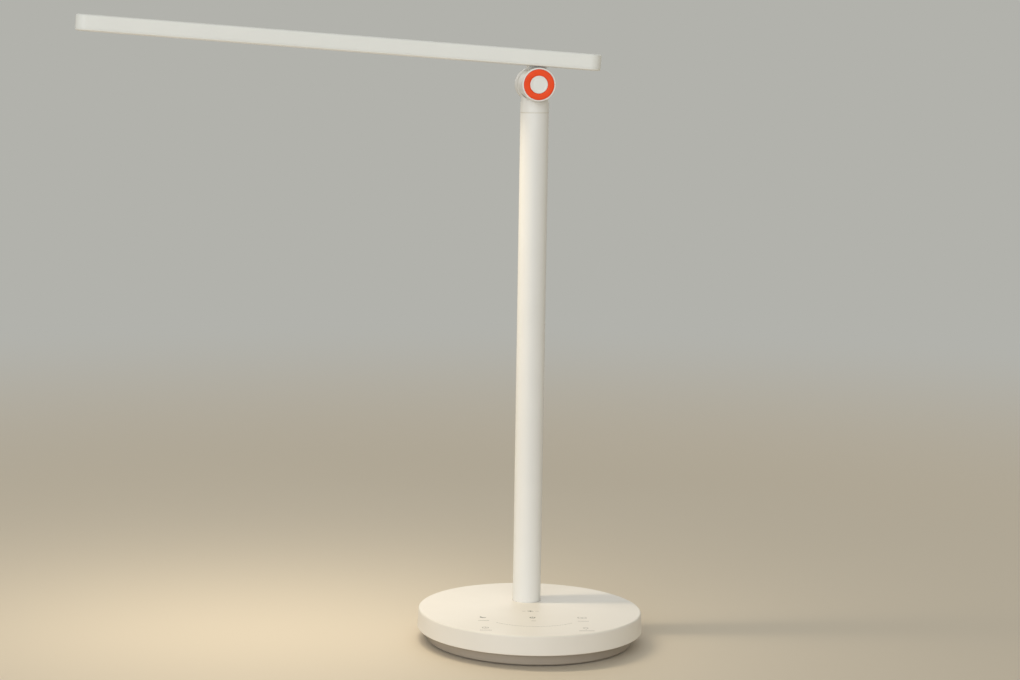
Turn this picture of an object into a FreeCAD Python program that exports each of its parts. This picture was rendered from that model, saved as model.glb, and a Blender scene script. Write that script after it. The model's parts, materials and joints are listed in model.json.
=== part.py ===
import FreeCAD, Part
import math
import os

# LED desk lamp with a round weighted base, an upright pole, a barrel hinge and a bar-shaped head.
# Millimetres, +Z up. The origin is the centre of the base on the desk, and the keys of the base face -Y.
# The head is built level above its hinge axis, then raised and turned to the pose that it is stored in.

os.makedirs("parts", exist_ok=True)
Vec = FreeCAD.Vector

# Stored pose
pole_offset = 29.0          # base centre back to the pole's axis
hinge_height = 444.5        # desk to the hinge axis
stored_swivel = 3.9         # degrees, head turned on the pole
stored_tilt = 4.1           # degrees, far end of the head raised

# Base cover and plinth
base_radius = 90.0          # at the lower edge of the cover's wall
base_height = 25.9          # desk to the top face
rim_height = 10.3           # desk to the lower edge of the cover's wall
wall_draft = 0.9            # cover's wall leans in by this much up to the top face
cover_wall = 2.2
cover_top = 2.2
cover_edge_round = 1.8
rim_edge_round = 0.8
plinth_inset = 8.0          # cover's wall to the plinth's wall
plinth_wall = 2.2
plinth_floor = 2.2
plinth_edge_chamfer = 1.0
flange_thickness = 1.5
flange_recess = 0.5         # lower edge of the cover's wall up to the plinth's flange
shell_gap = 0.3

# Foot pad and counterweight
pad_thickness = 2.0
pad_proud = 0.8
pad_gap = 0.2
pad_screw_gap = 2.2         # pad's edge to the screw recesses
pad_edge_chamfer = 0.3
weight_thickness = 6.0
weight_gap = 2.2            # counterweight's edge to the cover's bosses

# Screws that hold the shells and the counterweight
shell_screw_count = 4
boss_radius = 3.8
boss_wall_gap = 1.2
screw_radius = 1.5
screw_head_radius = 3.2
screw_head_height = 1.7
screw_recess_gap = 0.4
screw_recess_depth = 1.8
screw_bite = 9.0            # thread in the cover's boss
hole_fit = 0.05
hole_free = 0.2
weight_screw_count = 3
weight_screw_circle = 55.0
weight_boss_radius = 4.0
weight_boss_height = 3.2
weight_boss_gap = 0.3

# Pole and its foot
pole_radius = 11.35
pole_wall = 1.3
pole_hole_gap = 0.15
foot_radius = 20.0
foot_thickness = 3.0
foot_spigot_height = 20.0
foot_spigot_wall = 3.5
foot_fit = 0.05
foot_screw_count = 3
foot_screw_circle = 15.0
foot_screw_radius = 2.0
foot_screw_head_radius = 3.6
foot_screw_head_height = 2.6
foot_screw_sink = 3.0
window_size = 5.6           # hole in the pole's foot for the lead
window_sill = 0.8

# Touch keys, in the base's frame
key_radius = 5.5
key_back_y = -10.9
key_middle_y = -37.2
key_upper_x = 39.3
key_upper_y = -36.5
key_lower_x = 38.7
key_lower_inset = 21.3      # front of the cover's wall back to the lower keys
slider_centre_y = -15.7
slider_radius = 43.7
slider_half_angle = 41.6    # degrees each side of the front
slider_width = 8.0
slider_parts = 5
slider_split = 2.0          # degrees between neighbouring parts
pad_foam_height = 2.0

# Circuit boards
board_thickness = 1.6
board_corner = 3.0
board_edge = 2.2            # board's edge beyond the keys
board_wall_gap = 2.5        # board's round corners to the cover's wall
board_screw_radius = 1.2
board_screw_head_radius = 2.4
board_screw_head_height = 1.6
board_screw_bite = 3.0
board_screw_inset = 4.0     # board's edge in to its screws
board_screw_inset_front = 22.0
post_radius = 2.8
driver_width = 35.0
driver_length = 52.0
driver_foot_gap = 5.0       # pole's foot to the driver board
driver_lift = 2.8           # counterweight up to the driver board
driver_overlap = 8.0        # driver board under the touch board
header_length = 12.0
header_width = 4.5
header_inset = 2.0
coil_radius = 5.0
coil_neck_radius = 3.2
coil_height = 5.0
coil_flange = 1.1
capacitor_radius = 4.0
capacitor_headroom = 0.9
capacitor_groove = 0.4
chip_height = 1.3
chip_size = 6.0
socket_width = 6.0
socket_length = 6.5
socket_height = 4.6
socket_lead_height = 2.2

# Power inlet in the back of the cover
jack_width = 8.6
jack_height = 8.0
jack_length = 12.0
jack_lift = 0.2
jack_nose_radius = 3.8
jack_nose_gap = 0.15
jack_nose_sink = 0.5        # nose's face behind the cover's surface
jack_bore_radius = 2.85
jack_bore_depth = 9.5
jack_pin_radius = 1.05
jack_pin_sink = 1.0
jack_rib = 1.6
jack_rib_gap = 0.15
inlet_lead_radius = 1.1
inlet_lead_bend = 10.0
inlet_lead_run = 11.8       # inlet's inner end to the stretch of lead that crosses the base

# Lead in the pole
lead_radius = 1.6
lead_bend = 9.5

# Swivel at the top of the pole
bush_flange = 0.5
bush_flange_inset = 0.3
bush_length = 14.0
seam_gap = 0.1
spigot_radius = 7.0
spigot_fit = 0.05
spigot_bore = 3.0
swivel_washer_radius = 9.4
swivel_washer_thickness = 0.8
swivel_nut_radius = 9.4
swivel_nut_height = 5.0
swivel_play = 0.1

# Hinge barrel
barrel_radius = 13.26
barrel_length = 43.0
barrel_edge_round = 0.5
neck_inset = 0.55           # neck inside the collar
neck_rise = 9.0             # neck's top above the step, inside the barrel
step_gap = 0.44             # barrel's lowest line down to the step
collar_height = 8.3
knuckle_width = 14.4
knuckle_inset = 0.3
knuckle_side_gap = 0.3
cradle_gap = 0.3
shaft_radius = 4.0
shaft_bore = 2.4
shaft_fit = 0.05
shaft_end_gap = 0.9         # shaft's end to the cover ring's seat
friction_washer_radius = 9.0
friction_washer_thickness = 0.8
friction_washer_play = 0.05
pocket_radius = 9.5
pocket_floor = 6.3          # thickness of the fork behind its pocket
disc_spring_radius = 7.2
disc_spring_thickness = 0.8
disc_spring_count = 2       # on each side
nut_across_flats = 12.0
nut_height = 3.0
ring_radius = 12.05
ring_hole_radius = 7.05
ring_thickness = 1.3
ring_sink = 0.3             # ring's face behind the barrel's end
ring_gap = 0.1
ring_edge_round = 0.2
cap_gap = 0.1
cap_proud = 0.2
cap_edge_round = 0.5
cap_flange_radius = 8.5
cap_flange_thickness = 0.6
cap_stem_radius = 2.3
cap_stem_length = 5.0

# Head, measured from the hinge axis
head_gap = 1.22             # barrel's top to the underside of the head
head_thickness = 12.56
head_reach = 364.8          # hinge axis to the far end
head_tail = 48.6            # hinge axis to the near end
head_width = 46.0
head_corner = 9.5
head_wall = 1.8
head_top_round = 1.5
frame_thickness = 1.7
frame_edge_round = 1.3
lip_height = 3.0
lip_thickness = 1.2
lip_gap = 0.15
window_end_wall = 8.3       # far end of the head to the light window
window_hinge_gap = 58.0     # hinge axis to the light window
window_width = 36.0
window_corner = 5.0
diffuser_sink = 0.15
diffuser_gap = 0.15
diffuser_flange = 1.5
diffuser_flange_thickness = 1.0
reflector_wall = 1.0
reflector_sheet = 0.6
spine_thickness = 2.0
spine_width = 34.0
spine_end_gap = 10.3        # far end of the head to the spine
spine_tail = 30.0
led_board_tail_gap = 44.0   # hinge axis to the light board
led_rows = 2
led_row_spacing = 16.0
led_count = 22              # in each row
led_end_gap = 8.0
led_length = 3.5
led_width = 2.8
led_height = 0.7
led_hole_gap = 0.4

# Bracket between the hinge and the head
stem_width = 14.0
stem_gap = 0.5
bracket_length = 60.0
bracket_width = 32.0
bracket_thickness = 2.0
bracket_corner = 3.0
bracket_screw_x = 22.0
bracket_screw_y = 11.0
bracket_screw_radius = 1.5
bracket_screw_head_radius = 2.8
bracket_screw_head_height = 1.8
stem_bore = 2.1
frame_screw_x = 37.0
frame_screw_y = 14.0
frame_screw_radius = 1.25
frame_screw_head_radius = 2.4
frame_screw_head_height = 1.4
frame_screw_sink = 0.2
frame_screw_bite = 6.0
frame_boss_radius = 3.0
frame_pad_radius = 3.6
frame_pad_height = 1.4
head_lead_radius = 1.3
head_lead_bend = 4.5
head_lead_drop = 1.8        # light board down to the lead
head_lead_slot = 3.6        # lead down to the foot of its slot in the stem
led_socket_length = 7.0
led_socket_width = 8.0
led_socket_height = 4.2

# Heights in the base
plinth_radius = base_radius - plinth_inset
floor_top = pad_thickness + plinth_floor
flange_low = rim_height + flange_recess
flange_top = flange_low + flange_thickness
flange_radius = base_radius - cover_wall - shell_gap
weight_top = floor_top + weight_thickness
foot_top = weight_top + foot_thickness
cover_under = base_height - cover_top
touch_board_top = cover_under - pad_foam_height
touch_board_low = touch_board_top - board_thickness
driver_low = weight_top + driver_lift
driver_top = driver_low + board_thickness
lead_height = driver_top + socket_lead_height

# Circles and edges in the base
key_lower_y = key_lower_inset - base_radius
boss_circle = plinth_radius - plinth_wall - boss_wall_gap - boss_radius
weight_radius = boss_circle - boss_radius - weight_gap
recess_radius = screw_head_radius + screw_recess_gap
pad_radius = boss_circle - recess_radius - pad_screw_gap
touch_half_width = key_upper_x + key_radius + board_edge
touch_back = key_back_y + key_radius + board_edge
touch_front = key_lower_y - key_radius - board_edge
touch_board_radius = base_radius - cover_wall - board_wall_gap
driver_right = -foot_radius - driver_foot_gap
driver_left = driver_right - driver_width
driver_front = touch_back - driver_overlap
driver_back = driver_front + driver_length
coil_x = driver_left + coil_radius + board_screw_inset
coil_y = pole_offset - coil_radius
capacitor_x = driver_right - capacitor_radius - 2 * board_screw_inset
capacitor_y = pole_offset - socket_width - capacitor_radius
chip_x = coil_x + coil_radius + chip_size
chip_y = pole_offset
inlet_socket_x = (driver_left + driver_right) / 2
inlet_socket_back = driver_back
jack_mouth_y = base_radius - wall_draft - jack_nose_sink
jack_back_y = base_radius - cover_wall
jack_front_y = jack_back_y - jack_length
inlet_lead_back_y = jack_front_y - inlet_lead_run
jack_low = flange_top + jack_lift
jack_axis_z = jack_low + jack_height / 2

# Heights and radii at the hinge, from the hinge axis
pole_bore = pole_radius - pole_wall
neck_radius = pole_radius - neck_inset
step_z = -barrel_radius - step_gap
collar_z = step_z - collar_height
bush_top_z = collar_z - seam_gap
pole_top_z = bush_top_z - bush_flange
bush_low_z = pole_top_z - bush_length
swivel_nut_top_z = bush_low_z - swivel_washer_thickness - 2 * swivel_play
swivel_nut_low_z = swivel_nut_top_z - swivel_nut_height
knuckle_radius = barrel_radius - knuckle_inset
barrel_end = barrel_length / 2
slot_half = knuckle_width / 2 + knuckle_side_gap
pocket_y = slot_half + pocket_floor
seat_y = barrel_end - ring_sink - ring_thickness
shaft_end = seat_y - shaft_end_gap

# Heights in the head, from the hinge axis
head_low = barrel_radius + head_gap
frame_top = head_low + frame_thickness
head_top = head_low + head_thickness
ceiling = head_top - head_wall
spine_low = ceiling - spine_thickness
led_board_low = spine_low - board_thickness
bracket_low = spine_low - bracket_thickness
window_left = -head_reach + window_end_wall
window_right = -window_hinge_gap
spine_left = -head_reach + spine_end_gap
half_width = head_width / 2
half_window = window_width / 2
lead_level = led_board_low - head_lead_drop


def rod(radius, low, high, x=0.0, y=0.0):
    """Upright round bar between two heights."""
    return Part.makeCylinder(radius, high - low, Vec(x, y, low))


def tube(outer, inner, low, high, x=0.0, y=0.0):
    """Upright pipe between two heights."""
    return rod(outer, low, high, x, y).cut(rod(inner, low, high, x, y))


def axle(radius, front, back):
    """Round bar along the hinge axis."""
    return Part.makeCylinder(radius, back - front, Vec(0, front, 0), Vec(0, 1, 0))


def sleeve(outer, inner, front, back):
    """Pipe along the hinge axis."""
    return axle(outer, front, back).cut(axle(inner, front, back))


def slab(left, right, front, back, low, high):
    """Square-edged block."""
    return Part.makeBox(right - left, back - front, high - low, Vec(left, front, low))


def edges_at(shape, height):
    """Edges that lie flat at one height."""
    flat = []
    for edge in shape.Edges:
        box = edge.BoundBox
        if abs(box.ZMin - height) < 1e-6 and abs(box.ZMax - height) < 1e-6:
            flat.append(edge)
    return flat


def edges_on_end(shape, y):
    """Edges that lie in one plane square to the hinge axis."""
    found = []
    for edge in shape.Edges:
        box = edge.BoundBox
        if abs(box.YMin - y) < 1e-6 and abs(box.YMax - y) < 1e-6:
            found.append(edge)
    return found


def widest(edges):
    """The edge with the largest outline."""
    return max(edges, key=lambda edge: edge.BoundBox.DiagonalLength)


def rounded_slab(left, right, front, back, low, high, corner):
    """Block with rounded upright corners."""
    body = slab(left, right, front, back, low, high)
    upright = [edge for edge in body.Edges if edge.BoundBox.ZLength > (high - low) / 2]
    return body.makeFillet(corner, upright)


def joined(shapes):
    """One solid from pieces that overlap or meet."""
    body = shapes[0].fuse(shapes[1:])
    return body.removeSplitter()


def around(count, circle, first_angle, centre_y=0.0):
    """Evenly spaced places on a circle, as pairs of x and y."""
    places = []
    for number in range(count):
        angle = math.radians(first_angle + 360.0 * number / count)
        places.append((circle * math.cos(angle), centre_y + circle * math.sin(angle)))
    return places


def screw_up(x, y, seat, head_radius, head_height, radius, length):
    """Screw that points up, with its head under the seat."""
    head = rod(head_radius, seat - head_height, seat, x, y)
    shank = rod(radius, seat, seat + length, x, y)
    socket = rod(radius, seat - head_height, seat - head_height / 2, x, y)
    return joined([head, shank]).cut(socket)


def screw_down(x, y, seat, head_radius, head_height, radius, length):
    """Screw that points down, with its head on the seat."""
    upward = screw_up(0, 0, 0, head_radius, head_height, radius, length)
    upward.rotate(Vec(0, 0, 0), Vec(1, 0, 0), 180)
    upward.translate(Vec(x, y, seat))
    return upward


def bent_lead(points, radius, bend):
    """Round lead along straight runs joined by arcs of one radius."""
    edges = []
    start = points[0]
    for before, corner, after in zip(points, points[1:], points[2:]):
        inward = (before - corner).normalize()
        outward = (after - corner).normalize()
        half = math.acos(max(-1.0, min(1.0, inward.dot(outward)))) / 2
        reach = bend / math.tan(half)
        first = corner + inward * reach
        last = corner + outward * reach
        centre = corner + (inward + outward).normalize() * (bend / math.sin(half))
        middle = centre + (corner - centre).normalize() * bend
        edges.append(Part.LineSegment(start, first).toShape())
        edges.append(Part.Arc(first, middle, last).toShape())
        start = last
    edges.append(Part.LineSegment(start, points[-1]).toShape())
    path = Part.Wire(edges)
    direction = points[1] - points[0]
    ring = Part.Wire(Part.makeCircle(radius, points[0], direction))
    body = path.makePipeShell([ring], True, False)
    length = path.Length
    print("lead", round(length, 1), "mm long, bend", bend, "mm, volume share",
          round(body.Volume / (math.pi * radius ** 2 * length), 4))
    return body


def at_hinge(shape):
    """Piece of the neck, from the hinge's frame to its place on the pole."""
    placed = shape.copy()
    placed.rotate(Vec(0, 0, 0), Vec(0, 0, 1), stored_swivel)
    placed.translate(Vec(0, pole_offset, hinge_height))
    return placed


def on_head(shape):
    """Piece of the head, raised about the hinge axis and put in its place."""
    raised = shape.copy()
    raised.rotate(Vec(0, 0, 0), Vec(0, 1, 0), stored_tilt)
    return at_hinge(raised)


def save(name, shape):
    """Write one node."""
    bad = [solid for solid in shape.Solids if not solid.isValid() or not solid.isClosed()]
    print(name, "solids", len(shape.Solids), "volume", round(shape.Volume), "bad", len(bad))
    shape.exportStep("parts/" + name + ".step")


def save_group(name, shapes):
    """Write a node of like pieces that stay separate solids."""
    save(name, Part.makeCompound(shapes))


def corners(x, y):
    """The four corners of a rectangle about the hinge axis."""
    return [(-x, -y), (-x, y), (x, -y), (x, y)]


bracket_screw_places = corners(bracket_screw_x, bracket_screw_y)
frame_screw_places = corners(frame_screw_x, frame_screw_y)
boss_places = around(shell_screw_count, boss_circle, 45.0)
weight_screw_places = around(weight_screw_count, weight_screw_circle, 30.0)
foot_screw_places = around(foot_screw_count, foot_screw_circle, 90.0, pole_offset)
touch_screw_back_x = touch_half_width - board_screw_inset
touch_screw_front_x = touch_half_width - board_screw_inset_front
touch_screw_places = [
    (-touch_screw_back_x, touch_back - board_screw_inset),
    (touch_screw_back_x, touch_back - board_screw_inset),
    (-touch_screw_front_x, touch_front + board_screw_inset),
    (touch_screw_front_x, touch_front + board_screw_inset),
]
driver_screw_places = [
    (x, y)
    for x in (driver_left + board_screw_inset, driver_right - board_screw_inset)
    for y in (touch_back + post_radius + board_screw_inset, driver_back - board_screw_inset)
]
key_places = [
    (0.0, key_back_y),
    (0.0, key_middle_y),
    (-key_upper_x, key_upper_y),
    (key_upper_x, key_upper_y),
    (-key_lower_x, key_lower_y),
    (key_lower_x, key_lower_y),
]


def make_base_cover():
    """White top shell of the base, with its bosses, posts and inlet ribs."""
    place = Vec(0, 0, rim_height)
    shell = Part.makeCone(base_radius, base_radius - wall_draft, base_height - rim_height, place)
    shell = shell.makeFillet(cover_edge_round, edges_at(shell, base_height))
    shell = shell.makeFillet(rim_edge_round, [widest(edges_at(shell, rim_height))])
    shell = shell.cut(rod(base_radius - cover_wall, rim_height, cover_under))
    pieces = [shell]
    for x, y in boss_places:
        pieces.append(rod(boss_radius, floor_top, cover_under, x, y))
    for x, y in touch_screw_places:
        pieces.append(rod(post_radius, touch_board_top, cover_under, x, y))
    for x, y in driver_screw_places:
        pieces.append(rod(post_radius, driver_top, cover_under, x, y))
    room = rod(base_radius - cover_wall / 2, rim_height, cover_under)
    for side in (-1, 1):
        near = side * (jack_width / 2 + jack_rib_gap)
        far = near + side * jack_rib
        rib = slab(min(near, far), max(near, far), jack_front_y, base_radius, jack_low, cover_under)
        pieces.append(rib.common(room))
    body = joined(pieces)
    cutters = [rod(pole_radius + pole_hole_gap, rim_height, base_height, 0, pole_offset)]
    for x, y in boss_places:
        cutters.append(rod(screw_radius + hole_fit, floor_top, floor_top + screw_bite + boss_radius, x, y))
    for x, y in touch_screw_places:
        top = touch_board_top + board_screw_bite
        cutters.append(rod(board_screw_radius + hole_fit, touch_board_top, top, x, y))
    for x, y in driver_screw_places:
        top = driver_top + board_screw_bite + post_radius
        cutters.append(rod(board_screw_radius + hole_fit, driver_top, top, x, y))
    hole_start = Vec(0, jack_back_y - cover_wall, jack_axis_z)
    cutters.append(Part.makeCylinder(jack_nose_radius + jack_nose_gap, 2 * cover_wall, hole_start, Vec(0, 1, 0)))
    return body.cut(cutters)


def make_base_bottom():
    """Grey plinth that closes the base from below."""
    body = rod(plinth_radius, pad_proud, flange_top)
    body = body.makeChamfer(plinth_edge_chamfer, edges_at(body, pad_proud))
    body = joined([body, rod(flange_radius, flange_low, flange_top)])
    body = body.cut(rod(plinth_radius - plinth_wall, floor_top, flange_top))
    bosses = [rod(weight_boss_radius, pad_thickness, floor_top + weight_boss_height, x, y)
              for x, y in weight_screw_places]
    body = joined([body] + bosses)
    cutters = [rod(pad_radius + pad_gap, pad_proud, pad_thickness)]
    for x, y in boss_places:
        cutters.append(rod(recess_radius, pad_proud, pad_proud + screw_recess_depth, x, y))
        cutters.append(rod(screw_radius + hole_free, pad_proud, floor_top, x, y))
    for x, y in weight_screw_places:
        cutters.append(rod(screw_radius + hole_fit, floor_top, floor_top + weight_boss_height, x, y))
    return body.cut(cutters)


def make_foot_pad():
    """Round non-slip pad under the plinth."""
    body = rod(pad_radius, 0, pad_thickness)
    return body.makeChamfer(pad_edge_chamfer, edges_at(body, 0))


def make_counterweight():
    """Steel disc that keeps the lamp upright."""
    body = rod(weight_radius, floor_top, weight_top)
    cutters = []
    for x, y in weight_screw_places:
        boss_room = floor_top + weight_boss_height + weight_boss_gap
        cutters.append(rod(weight_boss_radius + weight_boss_gap, floor_top, boss_room, x, y))
        cutters.append(rod(screw_radius + hole_free, floor_top, weight_top, x, y))
    for x, y in foot_screw_places:
        seat = floor_top + foot_screw_sink
        cutters.append(rod(foot_screw_head_radius + hole_free, floor_top, seat, x, y))
        cutters.append(rod(foot_screw_radius + hole_free, floor_top, weight_top, x, y))
    return body.cut(cutters)


def lead_window(outer):
    """Room for the lead where it enters the pole from the driver board."""
    low = foot_top + window_sill
    half = window_size / 2
    return slab(-outer, 0, pole_offset - half, pole_offset + half, low, low + window_size)


def make_pole_foot():
    """Steel foot that carries the pole on the counterweight."""
    flange = rod(foot_radius, weight_top, foot_top, 0, pole_offset)
    plug_radius = pole_bore - foot_fit
    plug_top = foot_top + foot_spigot_height
    plug = rod(plug_radius, weight_top, plug_top, 0, pole_offset)
    body = joined([flange, plug])
    cutters = [rod(plug_radius - foot_spigot_wall, weight_top, plug_top, 0, pole_offset)]
    for x, y in foot_screw_places:
        cutters.append(rod(foot_screw_radius + hole_fit, weight_top, foot_top, x, y))
    cutters.append(lead_window(pole_radius))
    return body.cut(cutters)


def make_pole_tube():
    """Round pole from its foot to the swivel."""
    body = tube(pole_radius, pole_bore, foot_top, hinge_height + pole_top_z, 0, pole_offset)
    return body.cut(lead_window(2 * pole_radius))


def make_touch_pads():
    """Foam contacts between the touch board and the cover, one under each key and part of the slider."""
    pads = [rod(key_radius, touch_board_top, cover_under, x, y) for x, y in key_places]
    outer = slider_radius + slider_width / 2
    inner = slider_radius - slider_width / 2
    step = 2 * slider_half_angle / slider_parts
    for number in range(slider_parts):
        first = -90.0 - slider_half_angle + number * step + slider_split / 2
        span = step - slider_split
        place = Vec(0, slider_centre_y, touch_board_top)
        part = Part.makeCylinder(outer, pad_foam_height, place, Vec(0, 0, 1), span)
        part = part.cut(Part.makeCylinder(inner, pad_foam_height, place, Vec(0, 0, 1), span))
        part.rotate(place, Vec(0, 0, 1), first)
        pads.append(part)
    return pads


def make_touch_board():
    """Circuit board under the keys."""
    body = rounded_slab(-touch_half_width, touch_half_width, touch_front, touch_back,
                        touch_board_low, touch_board_top, board_corner)
    body = body.common(rod(touch_board_radius, touch_board_low, touch_board_top))
    holes = [rod(board_screw_radius + hole_free, touch_board_low, touch_board_top, x, y)
             for x, y in touch_screw_places]
    return body.cut(holes)


def make_driver_board():
    """Circuit board that feeds the lights, beside the pole."""
    body = rounded_slab(driver_left, driver_right, driver_front, driver_back,
                        driver_low, driver_top, board_corner)
    holes = [rod(board_screw_radius + hole_free, driver_low, driver_top, x, y)
             for x, y in driver_screw_places]
    return body.cut(holes)


def make_driver_coil():
    """Choke of the driver: a ferrite bobbin."""
    top = driver_top + coil_height
    lower = rod(coil_radius, driver_top, driver_top + coil_flange, coil_x, coil_y)
    core = rod(coil_neck_radius, driver_top, top, coil_x, coil_y)
    upper = rod(coil_radius, top - coil_flange, top, coil_x, coil_y)
    return joined([lower, core, upper])


def make_driver_capacitor():
    """Round capacitor that stands up to just under the cover."""
    top = cover_under - capacitor_headroom
    body = rod(capacitor_radius, driver_top, top, capacitor_x, capacitor_y)
    low = driver_top + 2 * capacitor_groove
    groove = tube(capacitor_radius, capacitor_radius - capacitor_groove, low, low + capacitor_groove,
                  capacitor_x, capacitor_y)
    return body.cut(groove)


def make_board_chips():
    """Chips on the driver board and under the touch board."""
    half = chip_size / 2
    driver_chip = slab(chip_x - half, chip_x + half, chip_y - half, chip_y + half,
                       driver_top, driver_top + chip_height)
    touch_chip = slab(-half, half, key_middle_y - half, key_middle_y + half,
                      touch_board_low - chip_height, touch_board_low)
    return [driver_chip, touch_chip]


def make_board_header():
    """Plug block that joins the two boards where they overlap."""
    right = driver_right - header_inset
    back = touch_back - header_inset
    return slab(right - header_length, right, back - header_width, back, driver_top, touch_board_low)


def make_lead_sockets():
    """Two plug blocks on the driver board: one for the pole's lead, one for the inlet's."""
    half = socket_width / 2
    top = driver_top + socket_height
    pole_socket = slab(driver_right - socket_length, driver_right, pole_offset - half, pole_offset + half,
                       driver_top, top)
    inlet_socket = slab(inlet_socket_x - half, inlet_socket_x + half,
                        inlet_socket_back - socket_length, inlet_socket_back, driver_top, top)
    return [pole_socket, inlet_socket]


def make_power_jack():
    """Inlet for the power plug, held between two ribs of the cover."""
    half = jack_width / 2
    block = slab(-half, half, jack_front_y, jack_back_y - cover_wall / 2, jack_low, jack_low + jack_height)
    block = block.common(rod(base_radius - cover_wall, jack_low, jack_low + jack_height))
    nose_length = jack_mouth_y - jack_front_y
    nose = Part.makeCylinder(jack_nose_radius, nose_length, Vec(0, jack_front_y, jack_axis_z), Vec(0, 1, 0))
    mouth = Vec(0, jack_mouth_y, jack_axis_z)
    bore = Part.makeCylinder(jack_bore_radius, jack_bore_depth, mouth, Vec(0, -1, 0))
    return joined([block, nose]).cut(bore)


def make_jack_pin():
    """Centre contact of the inlet."""
    length = jack_bore_depth - jack_pin_sink
    seat = jack_mouth_y - jack_bore_depth
    body = Part.makeCylinder(jack_pin_radius, length, Vec(0, seat, jack_axis_z), Vec(0, 1, 0))
    return body.makeFillet(jack_pin_radius / 2, edges_on_end(body, seat + length))


def make_inlet_lead():
    """Lead from the inlet to the driver board."""
    points = [
        Vec(0, jack_front_y, jack_axis_z),
        Vec(0, inlet_lead_back_y, jack_axis_z),
        Vec(inlet_socket_x, inlet_lead_back_y, jack_axis_z),
        Vec(inlet_socket_x, inlet_socket_back, jack_axis_z),
    ]
    return bent_lead(points, inlet_lead_radius, inlet_lead_bend)


def make_column_lead():
    """Lead from the driver board, through the window and up the pole to the hinge."""
    points = [
        Vec(driver_right, pole_offset, lead_height),
        Vec(0, pole_offset, lead_height),
        Vec(0, pole_offset, hinge_height + step_z),
    ]
    return bent_lead(points, lead_radius, lead_bend)


def make_swivel_bush():
    """Bush pressed into the pole's top, in which the neck turns."""
    flange = tube(pole_radius - bush_flange_inset, spigot_radius + spigot_fit, pole_top_z, bush_top_z)
    body = tube(pole_bore, spigot_radius + spigot_fit, bush_low_z, pole_top_z)
    return joined([flange, body])


def make_hinge_neck():
    """Collar, neck and the two outer knuckles of the hinge, with the spigot that turns in the pole."""
    pieces = [
        rod(spigot_radius, swivel_nut_low_z, collar_z),
        rod(pole_radius, collar_z, step_z),
        rod(neck_radius, step_z, step_z + neck_rise),
    ]
    barrel = axle(barrel_radius, -barrel_end, barrel_end)
    rims = edges_on_end(barrel, -barrel_end) + edges_on_end(barrel, barrel_end)
    pieces.append(barrel.makeFillet(barrel_edge_round, rims))
    body = joined(pieces)
    cutters = [
        axle(barrel_radius + cradle_gap, -slot_half, slot_half),
        axle(shaft_radius + shaft_fit, -barrel_end, barrel_end),
        rod(spigot_bore, swivel_nut_low_z, step_z + step_gap),
    ]
    washer_seat = slot_half + friction_washer_thickness - knuckle_side_gap + friction_washer_play
    cutters.append(axle(friction_washer_radius + hole_free, -washer_seat, washer_seat))
    for side in (-1, 1):
        front, back = sorted((side * pocket_y, side * barrel_end))
        cutters.append(axle(pocket_radius, front, back))
        front, back = sorted((side * seat_y, side * barrel_end))
        cutters.append(axle(ring_radius + ring_gap, front, back))
    return body.cut(cutters)


def make_swivel_washer():
    """Spring washer that gives the swivel its friction."""
    top = bush_low_z - swivel_play
    return tube(swivel_washer_radius, spigot_radius + hole_free, top - swivel_washer_thickness, top)


def make_swivel_nut():
    """Nut on the neck's spigot, with four spanner slots."""
    body = tube(swivel_nut_radius, spigot_radius + hole_fit, swivel_nut_low_z, swivel_nut_top_z)
    reach = swivel_nut_radius
    half = swivel_nut_height / 4
    depth = swivel_nut_low_z + swivel_nut_height / 2
    first = slab(-reach, reach, -half, half, swivel_nut_low_z, depth)
    second = slab(-half, half, -reach, reach, swivel_nut_low_z, depth)
    return body.cut([first, second])


def make_hinge_shaft():
    """Hollow steel shaft through the three knuckles."""
    return sleeve(shaft_radius, shaft_bore, -shaft_end, shaft_end)


def both_ends(front, back, make):
    """The same piece at the front and at the back of the hinge."""
    return [make(-back, -front), make(front, back)]


def washer(radius, low, high):
    """Washer on the hinge shaft."""
    return sleeve(radius, shaft_radius + shaft_fit, low, high)


def make_friction_washers():
    """Washers between the knuckles."""
    near = knuckle_width / 2 + friction_washer_play
    far = near + friction_washer_thickness
    return both_ends(near, far, lambda low, high: washer(friction_washer_radius, low, high))


def make_disc_springs():
    """Disc springs under the nuts, which set the hinge's friction."""
    springs = []
    for number in range(disc_spring_count):
        near = pocket_y + number * disc_spring_thickness
        far = near + disc_spring_thickness
        springs += both_ends(near, far, lambda low, high: washer(disc_spring_radius, low, high))
    return springs


def hexagon_nut(low, high):
    """Nut on the hinge shaft."""
    corner = nut_across_flats / 2 / math.cos(math.pi / 6)
    points = [Vec(x, low, z) for x, z in around(6, corner, 0.0)]
    face = Part.Face(Part.makePolygon(points + points[:1]))
    return face.extrude(Vec(0, high - low, 0)).cut(axle(shaft_radius + hole_fit, low, high))


def make_hinge_nuts():
    """Nuts at both ends of the shaft."""
    near = pocket_y + disc_spring_count * disc_spring_thickness
    return both_ends(near, near + nut_height, hexagon_nut)


def make_ring(side):
    """Coloured ring set into one end of the barrel."""
    front, back = sorted((side * seat_y, side * (seat_y + ring_thickness)))
    body = sleeve(ring_radius, ring_hole_radius, front, back)
    return body.makeFillet(ring_edge_round, edges_on_end(body, side * (seat_y + ring_thickness)))


def make_cap(side):
    """White centre cap of one end of the barrel, plugged into the shaft."""
    face = side * (barrel_end + cap_proud)
    front, back = sorted((side * seat_y, face))
    button = axle(ring_hole_radius - cap_gap, front, back)
    button = button.makeFillet(cap_edge_round, edges_on_end(button, face))
    front, back = sorted((side * seat_y, side * (seat_y - cap_flange_thickness)))
    flange = axle(cap_flange_radius, front, back)
    front, back = sorted((side * seat_y, side * (seat_y - cap_stem_length)))
    stem = axle(cap_stem_radius, front, back)
    return joined([button, flange, stem])


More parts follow.
